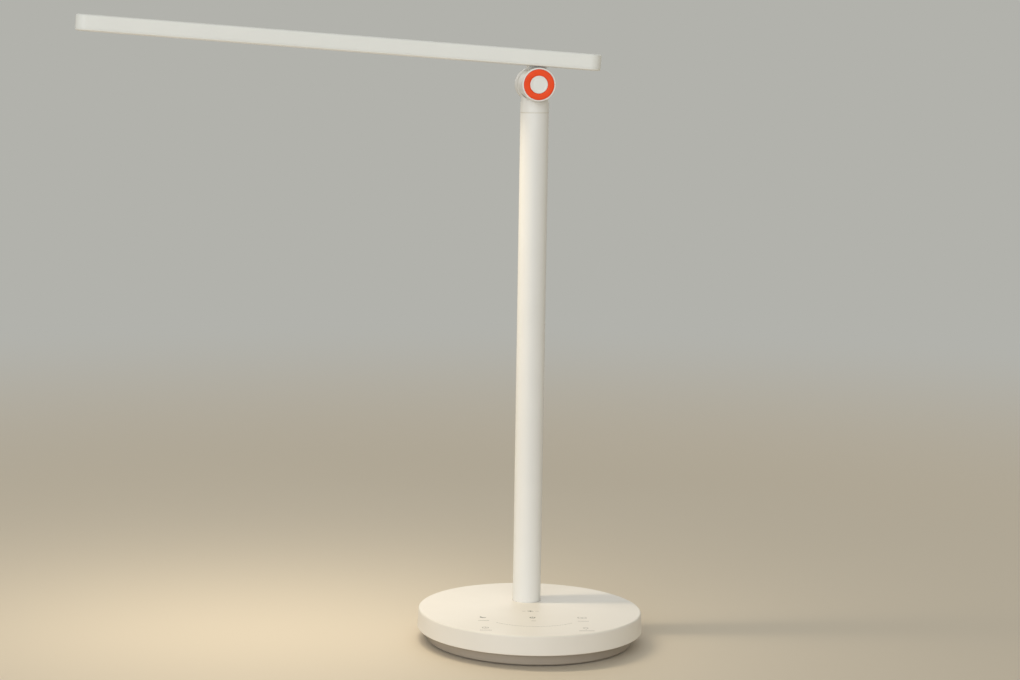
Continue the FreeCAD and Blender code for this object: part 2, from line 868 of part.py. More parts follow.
def make_head_bracket():
    """Middle knuckle of the hinge, with the stem and plate that carry the head."""
    half = knuckle_width / 2
    knuckle = axle(knuckle_radius, -half, half)
    stem = slab(-stem_width / 2, stem_width / 2, -half, half, 0, bracket_low + bracket_thickness / 2)
    plate = rounded_slab(-bracket_length / 2, bracket_length / 2, -bracket_width / 2, bracket_width / 2,
                         bracket_low, spine_low, bracket_corner)
    body = joined([knuckle, stem, plate])
    cutters = [
        axle(shaft_radius + shaft_fit, -half, half),
        rod(stem_bore, 0, bracket_low),
        slab(-stem_width, 0, -stem_bore, stem_bore, lead_level - head_lead_slot, bracket_low),
    ]
    for x, y in bracket_screw_places:
        cutters.append(rod(bracket_screw_radius + hole_free, bracket_low, spine_low, x, y))
    return body.cut(cutters)


def make_head_cover():
    """White upper shell of the head, with the bosses for the frame's screws."""
    shell = rounded_slab(-head_reach, head_tail, -half_width, half_width, frame_top, head_top, head_corner)
    shell = shell.makeFillet(head_top_round, edges_at(shell, head_top))
    room = rounded_slab(-head_reach + head_wall, head_tail - head_wall, -half_width + head_wall,
                        half_width - head_wall, frame_top, ceiling, head_corner - head_wall)
    shell = shell.cut(room)
    boss_low = frame_top + frame_pad_height
    bosses = [rod(frame_boss_radius, boss_low, ceiling, x, y) for x, y in frame_screw_places]
    body = joined([shell] + bosses)
    holes = [rod(frame_screw_radius + hole_fit, boss_low, boss_low + frame_screw_bite, x, y)
             for x, y in frame_screw_places]
    return body.cut(holes)


def make_head_frame():
    """White lower frame of the head, round the light window and the hinge's stem."""
    body = rounded_slab(-head_reach, head_tail, -half_width, half_width, head_low, frame_top, head_corner)
    body = body.makeFillet(frame_edge_round, edges_at(body, head_low))
    inset = head_wall + lip_gap
    lip = rounded_slab(-head_reach + inset, head_tail - inset, -half_width + inset, half_width - inset,
                       head_low + frame_edge_round, frame_top + lip_height, head_corner - inset)
    inner = inset + lip_thickness
    room = rounded_slab(-head_reach + inner, head_tail - inner, -half_width + inner, half_width - inner,
                        frame_top, frame_top + lip_height, head_corner - inner)
    pads = [rod(frame_pad_radius, head_low + frame_edge_round, frame_top + frame_pad_height, x, y)
            for x, y in frame_screw_places]
    body = joined([joined([body, lip]).cut(room)] + pads)
    cutters = [
        window_slab(0.0, head_low, frame_top),
        slab(-stem_width / 2 - stem_gap, stem_width / 2 + stem_gap,
             -knuckle_width / 2 - stem_gap, knuckle_width / 2 + stem_gap, head_low, frame_top),
    ]
    sink = frame_screw_sink + frame_screw_head_height
    for x, y in frame_screw_places:
        cutters.append(rod(frame_screw_head_radius + hole_free, head_low, head_low + sink, x, y))
        cutters.append(rod(frame_screw_radius + hole_free, head_low, frame_top + frame_pad_height, x, y))
    return body.cut(cutters)


def window_slab(grow, low, high):
    """Block of the light window's outline, grown on all sides."""
    return rounded_slab(window_left - grow, window_right + grow, -half_window - grow, half_window + grow,
                        low, high, window_corner + grow)


def make_diffuser():
    """Opal plate that fills the light window, with a flange that rests on the frame."""
    plate = window_slab(-diffuser_gap, head_low + diffuser_sink, frame_top)
    flange = window_slab(diffuser_flange, frame_top, frame_top + diffuser_flange_thickness)
    return joined([plate, flange])


def led_places():
    """Places of the light chips, in rows along the head."""
    first = window_left + led_end_gap
    last = window_right - led_end_gap
    places = []
    for row in range(led_rows):
        y = (row - (led_rows - 1) / 2) * led_row_spacing
        for number in range(led_count):
            places.append((first + (last - first) * number / (led_count - 1), y))
    return places


def chip_block(x, y, grow, low, high):
    """Block of a light chip's outline."""
    half_length = led_length / 2 + grow
    half_breadth = led_width / 2 + grow
    return slab(x - half_length, x + half_length, y - half_breadth, y + half_breadth, low, high)


def make_reflector_tray():
    """White tray that closes the sides of the light box and lies round the light chips."""
    low = frame_top + diffuser_flange_thickness
    body = window_slab(diffuser_flange, low, led_board_low)
    room = window_slab(diffuser_flange - reflector_wall, low, led_board_low - reflector_sheet)
    body = body.cut(room)
    sheet_low = led_board_low - reflector_sheet
    holes = [chip_block(x, y, led_hole_gap, sheet_low, led_board_low) for x, y in led_places()]
    return body.cut(holes)


def make_led_board():
    """Long board that carries the light chips under the spine."""
    half = spine_width / 2
    return slab(spine_left, -led_board_tail_gap, -half, half, led_board_low, spine_low)


def make_head_spine():
    """Aluminium plate under the cover's ceiling, which stiffens the head and cools the light board."""
    half = spine_width / 2
    body = slab(spine_left, spine_tail, -half, half, spine_low, ceiling)
    cutters = []
    for x, y in frame_screw_places:
        cutters.append(rod(frame_boss_radius + hole_free, spine_low, ceiling, x, y))
    for x, y in bracket_screw_places:
        cutters.append(rod(bracket_screw_radius + hole_fit, spine_low, ceiling, x, y))
    return body.cut(cutters)


def make_led_socket():
    """Plug block under the light board's end."""
    right = -led_board_tail_gap
    half = led_socket_width / 2
    low = led_board_low - led_socket_height
    return slab(right - led_socket_length, right, -half, half, low, led_board_low)


def make_head_lead():
    """Lead from the hinge's stem to the light board."""
    points = [
        Vec(0, 0, knuckle_radius - head_lead_bend),
        Vec(0, 0, lead_level),
        Vec(-led_board_tail_gap, 0, lead_level),
    ]
    return bent_lead(points, head_lead_radius, head_lead_bend)


# Base
save("base_cover", make_base_cover())
save("base_bottom", make_base_bottom())
save("foot_pad", make_foot_pad())
save("counterweight", make_counterweight())
save_group("cover_screws", [
    screw_up(x, y, pad_proud + screw_recess_depth, screw_head_radius, screw_head_height, screw_radius,
             floor_top - pad_proud - screw_recess_depth + screw_bite)
    for x, y in boss_places
])
save_group("weight_screws", [
    screw_down(x, y, weight_top, screw_head_radius, screw_head_height, screw_radius,
               weight_thickness - hole_free)
    for x, y in weight_screw_places
])
save("pole_foot", make_pole_foot())
save_group("foot_screws", [
    screw_up(x, y, floor_top + foot_screw_sink, foot_screw_head_radius, foot_screw_head_height,
             foot_screw_radius, weight_top - floor_top - foot_screw_sink + foot_thickness)
    for x, y in foot_screw_places
])
save("pole_tube", make_pole_tube())
save("touch_board", make_touch_board())
save_group("touch_pads", make_touch_pads())
save_group("touch_board_screws", [
    screw_up(x, y, touch_board_low, board_screw_head_radius, board_screw_head_height, board_screw_radius,
             board_thickness + board_screw_bite - hole_free)
    for x, y in touch_screw_places
])
save("driver_board", make_driver_board())
save_group("driver_board_screws", [
    screw_up(x, y, driver_low, board_screw_head_radius, board_screw_head_height, board_screw_radius,
             board_thickness + board_screw_bite)
    for x, y in driver_screw_places
])
save("driver_coil", make_driver_coil())
save("driver_capacitor", make_driver_capacitor())
save_group("board_chips", make_board_chips())
save("board_header", make_board_header())
save_group("lead_sockets", make_lead_sockets())
save("power_jack", make_power_jack())
save("jack_pin", make_jack_pin())
save("inlet_lead", make_inlet_lead())
save("column_lead", make_column_lead())
bush = make_swivel_bush()
bush.translate(Vec(0, pole_offset, hinge_height))
save("swivel_bush", bush)

# Neck and hinge, which turn on the pole
save("hinge_neck", at_hinge(make_hinge_neck()))
save("swivel_washer", at_hinge(make_swivel_washer()))
save("swivel_nut", at_hinge(make_swivel_nut()))
save("hinge_shaft", at_hinge(make_hinge_shaft()))
save_group("friction_washers", [at_hinge(piece) for piece in make_friction_washers()])
save_group("disc_springs", [at_hinge(piece) for piece in make_disc_springs()])
save_group("hinge_nuts", [at_hinge(piece) for piece in make_hinge_nuts()])
for place, side in (("front", -1), ("rear", 1)):
    save("orange_ring_" + place, at_hinge(make_ring(side)))
    save("centre_cap_" + place, at_hinge(make_cap(side)))

# Head, which tilts on the neck
save("head_bracket", on_head(make_head_bracket()))
save_group("bracket_screws", [
    on_head(screw_up(x, y, bracket_low, bracket_screw_head_radius, bracket_screw_head_height,
                     bracket_screw_radius, bracket_thickness + spine_thickness - hole_free))
    for x, y in bracket_screw_places
])
save("head_cover", on_head(make_head_cover()))
save("head_frame", on_head(make_head_frame()))
save_group("frame_screws", [
    on_head(screw_up(x, y, head_low + frame_screw_sink + frame_screw_head_height, frame_screw_head_radius,
                     frame_screw_head_height, frame_screw_radius,
                     frame_thickness + frame_pad_height + frame_screw_bite / 2 - frame_screw_head_height))
    for x, y in frame_screw_places
])
save("head_spine", on_head(make_head_spine()))
save("led_board", on_head(make_led_board()))
save_group("led_chips", [
    on_head(chip_block(x, y, 0.0, led_board_low - led_height, led_board_low)) for x, y in led_places()
])
save("reflector_tray", on_head(make_reflector_tray()))
save("diffuser", on_head(make_diffuser()))
save("led_socket", on_head(make_led_socket()))
save("head_lead", on_head(make_head_lead()))
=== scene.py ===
"""Looks of an LED desk lamp: round base with touch keys, upright pole, barrel hinge and long light bar."""

import json
import logging
import math
from collections.abc import Iterable, Sequence
from dataclasses import dataclass, fields
from enum import Enum
from typing import ClassVar

import bmesh
import bpy
import numpy as np
from mathutils import Matrix, Vector


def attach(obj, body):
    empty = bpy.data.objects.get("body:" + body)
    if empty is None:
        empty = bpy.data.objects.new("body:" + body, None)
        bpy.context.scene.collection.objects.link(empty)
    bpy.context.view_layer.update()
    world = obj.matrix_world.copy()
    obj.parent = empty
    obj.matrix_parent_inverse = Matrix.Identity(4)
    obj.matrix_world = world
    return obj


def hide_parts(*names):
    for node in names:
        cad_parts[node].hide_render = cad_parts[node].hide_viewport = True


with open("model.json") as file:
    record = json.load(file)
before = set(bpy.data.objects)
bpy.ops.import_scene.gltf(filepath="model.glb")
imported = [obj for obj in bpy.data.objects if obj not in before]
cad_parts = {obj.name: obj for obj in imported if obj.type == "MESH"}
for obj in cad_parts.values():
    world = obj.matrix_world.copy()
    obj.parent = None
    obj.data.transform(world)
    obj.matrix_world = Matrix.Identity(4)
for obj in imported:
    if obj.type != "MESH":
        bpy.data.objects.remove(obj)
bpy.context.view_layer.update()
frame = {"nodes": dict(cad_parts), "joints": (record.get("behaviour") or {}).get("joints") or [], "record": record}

log = logging.getLogger("desk_lamp")

MM = 0.001
SHARP = math.radians(35.0)
TAU = 2.0 * math.pi
NODE_MATH = "ShaderNodeMath"
Mesh = bmesh.types.BMesh
Piece = bpy.types.Object
Socket = bpy.types.NodeSocket
Tree = bpy.types.NodeTree
Box = tuple[Vector, Vector]
Colour = tuple[float, float, float, float]
Pair = tuple[float, float]
Triple = tuple[float, float, float]


class Body(Enum):
    """The lamp's moving bodies."""

    BASE = "base"
    NECK = "neck"
    HEAD = "head"


class Side(Enum):
    """Ends of the hinge barrel, with the turn that points +Z out of that end."""

    FRONT = 90.0
    REAR = -90.0


class KeyMark(Enum):
    """Plain symbols printed over the touch keys."""

    SUN = "sun"
    POWER = "power"
    BOOK = "book"
    CLOCK = "clock"
    MOON = "moon"
    BULB = "bulb"


def linear(code: str, keep: float = 1.0) -> Colour:
    """Turn an sRGB hex colour into linear light.

    Args:
        code: colour such as "#F2541B".
        keep: share of its light that is kept.

    Returns:
        Red, green, blue and an alpha of 1.
    """
    parts = [int(code[start:start + 2], 16) / 255.0 for start in (1, 3, 5)]
    red, green, blue = (part / 12.92 if part <= 0.04045 else ((part + 0.055) / 1.055) ** 2.4 for part in parts)
    return red * keep, green * keep, blue * keep, 1.0


def add_node(tree: Tree, kind: str, inputs: dict | Sequence = (), **settings: object) -> Sequence[Socket]:
    """Add a node with its settings and links.

    Args:
        tree: shader or geometry tree.
        kind: the node's type.
        inputs: a value, a socket or a list of sockets for each input, in order, or by its name or number.
        settings: properties of the node by name.

    Returns:
        The node's outputs.
    """
    node = tree.nodes.new(kind)
    for name, value in settings.items():
        setattr(node, name, value)
    for name, value in (inputs if isinstance(inputs, dict) else dict(enumerate(inputs))).items():
        several = value if isinstance(value, list) else [value]
        if isinstance(several[0], Socket):
            for source in several:
                tree.links.new(source, node.inputs[name])
        else:
            node.inputs[name].default_value = value
    return node.outputs


@dataclass(frozen=True)
class Finish:
    """One real material, drawn from the piece's own coordinates.

    Attributes:
        name: common name of the material and how its surface was made.
        colour: sRGB hex colour.
        roughness: typical roughness.
        tone_mm: size of the patches of slightly darker tone.
        tone: share by which those patches are darker.
        rub_mm: size of the patches that handling has rubbed.
        rub: change of roughness in those patches.
        grain_mm: size of the surface's grain.
        grain_depth_mm: height of the grain.
        metallic: 1 for a bare metal.
        ior: index of refraction; a metal keeps the default.
        coat: weight of a clear coat.
    """

    name: str
    colour: str
    roughness: float
    tone_mm: float = 45.0
    tone: float = 0.03
    rub_mm: float = 16.0
    rub: float = 0.05
    grain_mm: float = 1.2
    grain_depth_mm: float = 0.004
    metallic: float = 0.0
    ior: float = 1.5
    coat: float = 0.0

    # Nearly all of a noise lies between these.
    NOISE: ClassVar[dict[str, float]] = {"From Min": 0.35, "From Max": 0.65}

    def build(self) -> bpy.types.Material:
        """Make the material, once for all pieces.

        Returns:
            The material.
        """
        made = bpy.data.materials.get(self.name)
        if made is None:
            made = bpy.data.materials.new(self.name)
            # What glows is only seen as bright: the lamp light in Studio is what lights the rest.
            made.cycles.emission_sampling = "NONE"
            made.use_nodes = True
            tree = made.node_tree
            tree.nodes.clear()
            where = add_node(tree, "ShaderNodeTexCoord")["Object"]
            add_node(tree, "ShaderNodeOutputMaterial", {"Surface": self.surface(tree, where)})
        return made

    def patches(self, tree: Tree, where: Socket, size_mm: float, low: float, high: float) -> Socket:
        """Soft patches of one real size.

        Args:
            tree: the material's tree.
            where: coordinates.
            size_mm: size of the patches.
            low: value between them.
            high: value in them.

        Returns:
            Socket of the value.
        """
        patches = {"Vector": where, "Scale": 1.0 / (size_mm * MM), "Detail": 2.0}
        noise = add_node(tree, "ShaderNodeTexNoise", patches)[0]
        spread = {"Value": noise, **self.NOISE, "To Min": low, "To Max": high}
        return add_node(tree, "ShaderNodeMapRange", spread)[0]

    def tone_pattern(self, tree: Tree, where: Socket) -> Socket:
        """Where the darker tone shows, from 0 to 1."""
        return self.patches(tree, where, self.tone_mm, 0.0, 1.0)

    def height_pattern(self, tree: Tree, where: Socket) -> Socket:
        """Height of the grain, from 0 to 1."""
        grain = {"Vector": where, "Scale": 1.0 / (self.grain_mm * MM), "Detail": 2.0}
        return add_node(tree, "ShaderNodeTexNoise", grain)[0]

    def glow_inputs(self, tree: Tree, where: Socket) -> dict[str, Socket | Colour]:
        """Inputs of the shader that make it glow; most finishes have none."""
        return {}

    def surface(self, tree: Tree, where: Socket) -> Socket:
        """Join colour, roughness and grain in one shader.

        Args:
            tree: the material's tree.
            where: coordinates.

        Returns:
            The shader.
        """
        tone = self.tone_pattern(tree, where)
        colours = {0: tone, 6: linear(self.colour), 7: linear(self.colour, 1.0 - self.tone)}
        dull, shiny = self.roughness + self.rub, self.roughness - self.rub
        height = self.height_pattern(tree, where)
        grain = {"Strength": 1.0, "Distance": self.grain_depth_mm * MM, "Height": height}
        return add_node(tree, "ShaderNodeBsdfPrincipled", {
            "Base Color": add_node(tree, "ShaderNodeMix", colours, data_type="RGBA")[2],
            "Roughness": self.patches(tree, where, self.rub_mm, shiny, dull),
            "Normal": add_node(tree, "ShaderNodeBump", grain)[0],
            "Metallic": self.metallic,
            "IOR": self.ior,
            "Coat Weight": self.coat,
            **self.glow_inputs(tree, where),
        })[0]


@dataclass(frozen=True)
class DrawnMetal(Finish):
    """Metal, or an extruded sheath, with long fine lines from how it was made.

    Attributes:
        streaks_mm: length of the lines along X, Y and Z.
    """

    streaks_mm: Triple = (60.0, 0.6, 0.6)

    def height_pattern(self, tree: Tree, where: Socket) -> Socket:
        """Height of the lines, from 0 to 1.

        Args:
            tree: the material's tree.
            where: coordinates.

        Returns:
            Socket of the pattern.
        """
        scale = [1.0 / (length * MM) for length in self.streaks_mm]
        lines = add_node(tree, "ShaderNodeMapping", {"Vector": where, "Scale": scale})[0]
        return add_node(tree, "ShaderNodeTexNoise", {"Vector": lines, "Scale": 1.0, "Detail": 3.0})[0]

    def tone_pattern(self, tree: Tree, where: Socket) -> Socket:
        """The lines are slightly darker than the metal between them."""
        lines = {"Value": self.height_pattern(tree, where), **self.NOISE, "To Min": 1.0, "To Max": 0.0}
        return add_node(tree, "ShaderNodeMapRange", lines)[0]


@dataclass(frozen=True)
class CircuitBoard(Finish):
    """Glass epoxy or aluminium board under a solder mask, with its tracks showing through.

    Attributes:
        track_mm: distance between tracks.
        track_width_mm: width of the gap between two tracks.
    """

    track_mm: float = 4.0
    track_width_mm: float = 0.5

    def tone_pattern(self, tree: Tree, where: Socket) -> Socket:
        """The gaps between tracks are darker than the copper under the mask.

        Args:
            tree: the material's tree.
            where: coordinates.

        Returns:
            Socket of the pattern.
        """
        return add_node(tree, "ShaderNodeTexBrick", {
            "Vector": where,
            "Color1": (0.0, 0.0, 0.0, 1.0),
            "Color2": (0.25, 0.25, 0.25, 1.0),
            "Mortar": (1.0, 1.0, 1.0, 1.0),
            "Scale": 1.0,
            "Mortar Size": self.track_width_mm * MM / 2.0,
            "Brick Width": 4.0 * self.track_mm * MM,
            "Row Height": self.track_mm * MM,
        }, offset=0.5, squash=1.0)[0]


@dataclass(frozen=True, kw_only=True)
class OpalPlate(Finish):
    """Opal acrylic with light chips behind it.

    Attributes:
        centre: the light window's middle in the world, in metres.
        turn: the head's turn about X, Y and Z, in radians.
        half_length_mm: half the window's length.
        half_width_mm: half the window's width.
        pitch_mm: distance between chips along the window.
        row_mm: distance of each row of chips from the middle.
        blur_mm: how far a row's light spreads across.
        glow: strength of the light that comes through.
        spots: share that shows over a chip.
        rim: share that is lost at the window's edge.
        rim_mm: width of that edge.
        light: colour of the light.
    """

    centre: Triple
    turn: Triple
    half_length_mm: float
    half_width_mm: float
    pitch_mm: float
    row_mm: float
    blur_mm: float = 4.5
    glow: float = 0.3
    spots: float = 0.12
    rim: float = 0.35
    rim_mm: float = 7.0
    light: str = "#FFF3DF"

    def glow_inputs(self, tree: Tree, where: Socket) -> dict[str, Socket | Colour]:
        """Glow that is stronger over the chips and weaker at the rim.

        Args:
            tree: the material's tree.
            where: coordinates.

        Returns:
            Inputs of the shader.
        """
        middle = {"Vector": where, "Location": self.centre, "Rotation": self.turn}
        local = add_node(tree, "ShaderNodeMapping", middle, vector_type="TEXTURE")[0]
        chips, side, _ = add_node(tree, "ShaderNodeSeparateXYZ", (local,))
        length, across = (add_node(tree, NODE_MATH, (way,), operation="ABSOLUTE")[0] for way in (chips, side))
        for operation, *numbers in (
            ("MULTIPLY", TAU / (self.pitch_mm * MM)), ("COSINE",), ("MULTIPLY_ADD", -0.5, 0.5),
        ):
            chips = add_node(tree, NODE_MATH, (chips, *numbers), operation=operation)[0]
        row = across
        for operation, *numbers in (
            ("SUBTRACT", self.row_mm * MM), ("DIVIDE", self.blur_mm * MM), ("POWER", 2.0), ("MULTIPLY", -1.0),
            ("EXPONENT",),
        ):
            row = add_node(tree, NODE_MATH, (row, *numbers), operation=operation)[0]
        glow = chips
        for operation, number in (("MULTIPLY", row), ("MULTIPLY", self.spots), ("ADD", 1.0 - self.spots)):
            glow = add_node(tree, NODE_MATH, (glow, number), operation=operation)[0]
        for distance, half in ((across, self.half_width_mm), (length, self.half_length_mm)):
            edge = add_node(tree, "ShaderNodeMapRange", {
                "Value": distance,
                "From Min": (half - self.rim_mm) * MM,
                "From Max": half * MM,
                "To Min": 1.0,
                "To Max": 1.0 - self.rim,
            }, interpolation_type="SMOOTHSTEP")[0]
            glow = add_node(tree, NODE_MATH, (glow, edge), operation="MULTIPLY")[0]
        strength = add_node(tree, NODE_MATH, (glow, self.glow), operation="MULTIPLY")[0]
        return {"Emission Strength": strength, "Emission Color": linear(self.light)}


# Moulded ABS from a fine spark-eroded tool: an even satin skin with hardly any gloss. The real grain is
# about 0.1 mm, too fine to show, so it is drawn at 1.2 mm and very shallow.
WHITE_ABS = Finish("white ABS, spark-eroded mould", "#F1F2F0", 0.46, tone=0.02, rub=0.02, rub_mm=40.0)
# The base cover takes a warmer copy of the same white ABS: the extra warmth is painted light, the warm lamplight
# and desk bounce that fell on the base.
LAMPLIT_WHITE_ABS = Finish("warm white ABS, spark-eroded mould", "#EEE9E2", 0.46, tone=0.02, rub=0.02, rub_mm=40.0)
# Powder coat on steel: slightly glossier than the plastic, with the soft ripple of melted powder.
WHITE_POWDER_COAT = Finish("white powder coat on steel", "#EEEDEB", 0.38, tone=0.02, grain_mm=2.2,
                           grain_depth_mm=0.006, rub=0.03, coat=0.05)
# Matte grey ABS: dull and slightly dusty, so the foot sits back in the shadow of the white shell.
GREY_ABS = Finish("warm grey ABS, matte mould", "#ABA093", 0.62, tone=0.04, tone_mm=25.0, grain_depth_mm=0.008)
# Ground silicone rubber: nearly black, dull, with a dry bloom in patches.
RUBBER = Finish("black rubber, moulded", "#2D2C2B", 0.78, tone=0.25, tone_mm=8.0, grain_mm=0.9,
                grain_depth_mm=0.02)
# Hot rolled steel plate: dark scale with paler scuffs along the rolling direction.
ROLLED_STEEL = DrawnMetal("steel plate, rolled and oiled", "#6E6B67", 0.48, metallic=1.0, tone=0.25,
                          grain_depth_mm=0.01, streaks_mm=(45.0, 1.6, 1.6))
# Bright zinc plate: soft shine with cloudy patches.
ZINC_PLATE = Finish("steel, zinc plated", "#B9B8B3", 0.32, metallic=1.0, tone=0.16, tone_mm=3.0, rub_mm=2.0,
                    rub=0.08, grain_mm=0.5, grain_depth_mm=0.003)
# Ground steel: bright, with fine rings left by the wheel.
GROUND_STEEL = DrawnMetal("steel, turned and ground", "#C2C1BE", 0.26, metallic=1.0, tone=0.08,
                          grain_depth_mm=0.003, streaks_mm=(0.5, 30.0, 30.0))
# Orange ABS: the same fine mould skin in a strong colour, so the sheen looks paler at its edges.
ORANGE_ABS = Finish("orange ABS, spark-eroded mould", "#FF4C00", 0.58, tone=0.06, tone_mm=6.0, rub_mm=4.0,
                    rub=0.06, grain_mm=0.9, grain_depth_mm=0.005)
# Glass epoxy: glossy green mask with the lighter copper tracks showing through.
GREEN_BOARD = CircuitBoard("glass epoxy board, green mask", "#2F5D3A", 0.34, tone=0.4, rub=0.05)
# Aluminium board under white mask: bright and smooth so that it throws the light down.
WHITE_BOARD = CircuitBoard("aluminium board, white mask", "#EDEDEA", 0.36, tone=0.08, track_mm=8.0)
# Yellow phosphor in clear silicone: soft gloss and a granular yellow.
PHOSPHOR = Finish("phosphor in silicone", "#E9D98A", 0.3, tone=0.12, tone_mm=0.6, grain_mm=0.4,
                  grain_depth_mm=0.004, ior=1.41)
# White polyamide package of the light chips: dull, slightly grainy.
CHIP_PACKAGE = Finish("white polyamide, moulded", "#F2F0E8", 0.5, tone=0.04, tone_mm=1.0, grain_mm=0.5)
# White PET reflector sheet: very white and even.
REFLECTOR = Finish("white PET reflector sheet", "#F6F6F2", 0.3, tone=0.02, tone_mm=20.0)
# Mill-finish aluminium: grey and bright, with lines from the rolls.
MILL_ALUMINIUM = DrawnMetal("aluminium strip, mill finish", "#BFC0C0", 0.36, metallic=1.0, tone=0.12,
                            grain_depth_mm=0.005)
# Glass-filled nylon: black with a faint grey fleck of glass.
BLACK_NYLON = Finish("black nylon, glass filled", "#1F1F20", 0.48, tone=0.3, tone_mm=1.5, grain_mm=0.7,
                     grain_depth_mm=0.008)
# Natural nylon: milky and slightly waxy.
NATURAL_NYLON = Finish("natural nylon, moulded", "#E6E2D6", 0.42, tone=0.05, tone_mm=5.0, ior=1.53)
# Natural acetal: waxy white, smoother than nylon.
NATURAL_ACETAL = Finish("natural acetal, machined", "#DDD9CF", 0.36, tone=0.04, tone_mm=4.0, ior=1.48)
# Turned brass: warm shine, dulled in patches where it has been touched.
BRASS = DrawnMetal("brass, turned", "#C9A55A", 0.24, metallic=1.0, tone=0.15, rub_mm=1.5,
                   grain_depth_mm=0.003, streaks_mm=(3.0, 0.3, 3.0))
# Sintered ferrite: dark grey, dull and granular.
FERRITE = Finish("ferrite, sintered", "#3A3836", 0.66, tone=0.3, tone_mm=0.8, grain_mm=0.6,
                 grain_depth_mm=0.02, ior=1.8)
# Shrunk PET sleeve: dark, with the soft gloss of film.
CAN_SLEEVE = Finish("dark PET sleeve on an aluminium can", "#3B4250", 0.28, tone=0.1, tone_mm=4.0, coat=0.2)
# PVC sheath: satin, with the slight waviness of the extruder.
WHITE_PVC = DrawnMetal("white PVC sheath, extruded", "#D9D6CE", 0.44, tone=0.05, grain_depth_mm=0.01,
                       streaks_mm=(6.0, 6.0, 6.0), ior=1.53)
BLACK_PVC = DrawnMetal("black PVC sheath, extruded", "#2A2A2B", 0.42, tone=0.15, grain_depth_mm=0.01,
                       streaks_mm=(6.0, 6.0, 6.0), ior=1.53)
# Conductive foam: open dark cells.
FOAM = Finish("conductive foam, cut", "#4A4A4C", 0.85, tone=0.5, tone_mm=0.7, grain_mm=0.7, grain_depth_mm=0.15)
# Screen-printed ink: flat mid grey with a slightly uneven edge of tone.
PRINT_INK = Finish("grey screen-printed ink", "#96938C", 0.6, tone=0.12, tone_mm=0.9, grain_mm=0.5)

FINISH_OF_SLOT: dict[str, Finish] = {
    "white_shell": WHITE_ABS,
    "white_paint": WHITE_POWDER_COAT,
    "grey_plinth": GREY_ABS,
    "rubber_pad": RUBBER,
    "weight_steel": ROLLED_STEEL,
    "zinc_steel": ZINC_PLATE,
    "shaft_steel": GROUND_STEEL,
    "orange_plastic": ORANGE_ABS,
    "circuit_board": GREEN_BOARD,
    "light_board": WHITE_BOARD,
    "light_chip": PHOSPHOR,
    "white_reflector": REFLECTOR,
    "spine_aluminium": MILL_ALUMINIUM,
    "black_plastic": BLACK_NYLON,
    "nylon": NATURAL_NYLON,
    "acetal": NATURAL_ACETAL,
    "brass": BRASS,
    "ferrite": FERRITE,
    "capacitor_can": CAN_SLEEVE,
    "lead_sheath": WHITE_PVC,
    "dark_lead_sheath": BLACK_PVC,
    "foam": FOAM,
}


def local_copy(node: str, place: Matrix) -> Mesh:
    """Copy a CAD node's mesh, merged, in millimetres of a local frame.

    Args:
        node: name of the CAD node.
        place: the local frame.

    Returns:
        The copy.
    """
    work = bmesh.new()
    work.from_mesh(frame["nodes"][node].data)
    work.transform(Matrix.Scale(1.0 / MM, 4) @ place.inverted())
    bmesh.ops.remove_doubles(work, verts=work.verts, dist=0.002)
    return work


def box_of(verts: Iterable[bmesh.types.BMVert]) -> Box:
    """Lowest and highest corner of some points."""
    spots = np.array([vert.co[:] for vert in verts])
    return Vector(spots.min(0)), Vector(spots.max(0))


def box_in(node: str, place: Matrix) -> Box:
    """Lowest and highest corner of a CAD node in millimetres of a local frame.

    Args:
        node: name of the CAD node.
        place: the local frame.

    Returns:
        The two corners.
    """
    work = local_copy(node, place)
    box = box_of(work.verts)
    work.free()
    return box


def solids_of(node: str, place: Matrix) -> list[Box]:
    """Boxes of a node's separate solids in millimetres of a local frame.

    Args:
        node: name of the CAD node.
        place: the local frame.

    Returns:
        Lowest and highest corner of each solid, in a fixed order.
    """
    work = local_copy(node, place)
    waiting = set(work.verts)
    boxes = []
    while waiting:
        group = [waiting.pop()]
        for vert in group:
            for edge in vert.link_edges:
                other = edge.other_vert(vert)
                if other in waiting:
                    waiting.discard(other)
                    group.append(other)
        boxes.append(box_of(group))
    work.free()
    return sorted(boxes, key=lambda box: (round(box[0].x, 2), round(box[0].y, 2)))


def eased_copy(node: str, place: Matrix, width: float) -> Mesh:
    """Copy a CAD node with its outer edges broken, as a real moulding's are.

    Args:
        node: name of the CAD node.
        place: local frame to work in.
        width: width of the broken edge in millimetres.

    Returns:
        The copy, in millimetres of the local frame.
    """
    work = local_copy(node, place)
    bmesh.ops.dissolve_limit(work, angle_limit=math.radians(0.3), verts=work.verts, edges=work.edges)
    outer = [
        edge for edge in work.edges
        if len(edge.link_faces) == 2 and edge.is_convex and edge.calc_face_angle() > SHARP
    ]
    bmesh.ops.bevel(work, geom=outer, offset=width, segments=2, profile=0.5, affect="EDGES", clamp_overlap=True)
    return work


def add_object(name: str, data: bpy.types.ID) -> Piece:
    """Put a mesh, light or camera into the scene.

    Args:
        name: name of the object.
        data: what it shows.

    Returns:
        The object.
    """
    made = bpy.data.objects.new(name, data)
    bpy.context.scene.collection.objects.link(made)
    return made


def apply_modifiers(piece: Piece) -> None:
    """Turn a piece's evaluated shape into its plain mesh.

    Args:
        piece: object with modifiers.
    """
    graph = bpy.context.evaluated_depsgraph_get()
    final = bpy.data.meshes.new_from_object(piece.evaluated_get(graph), preserve_all_data_layers=True,
                                            depsgraph=graph)
    piece.modifiers.clear()
    piece.data = final


def even_shading(piece: Piece) -> None:
    """Shade a piece smoothly, with flat faces kept flat.

    Args:
        piece: object whose mesh is final.
    """
    piece.data.shade_smooth()
    piece.data.set_sharp_from_angle(angle=SHARP)
    modifier = piece.modifiers.new("even shading", "WEIGHTED_NORMAL")
    modifier.keep_sharp = True
    apply_modifiers(piece)


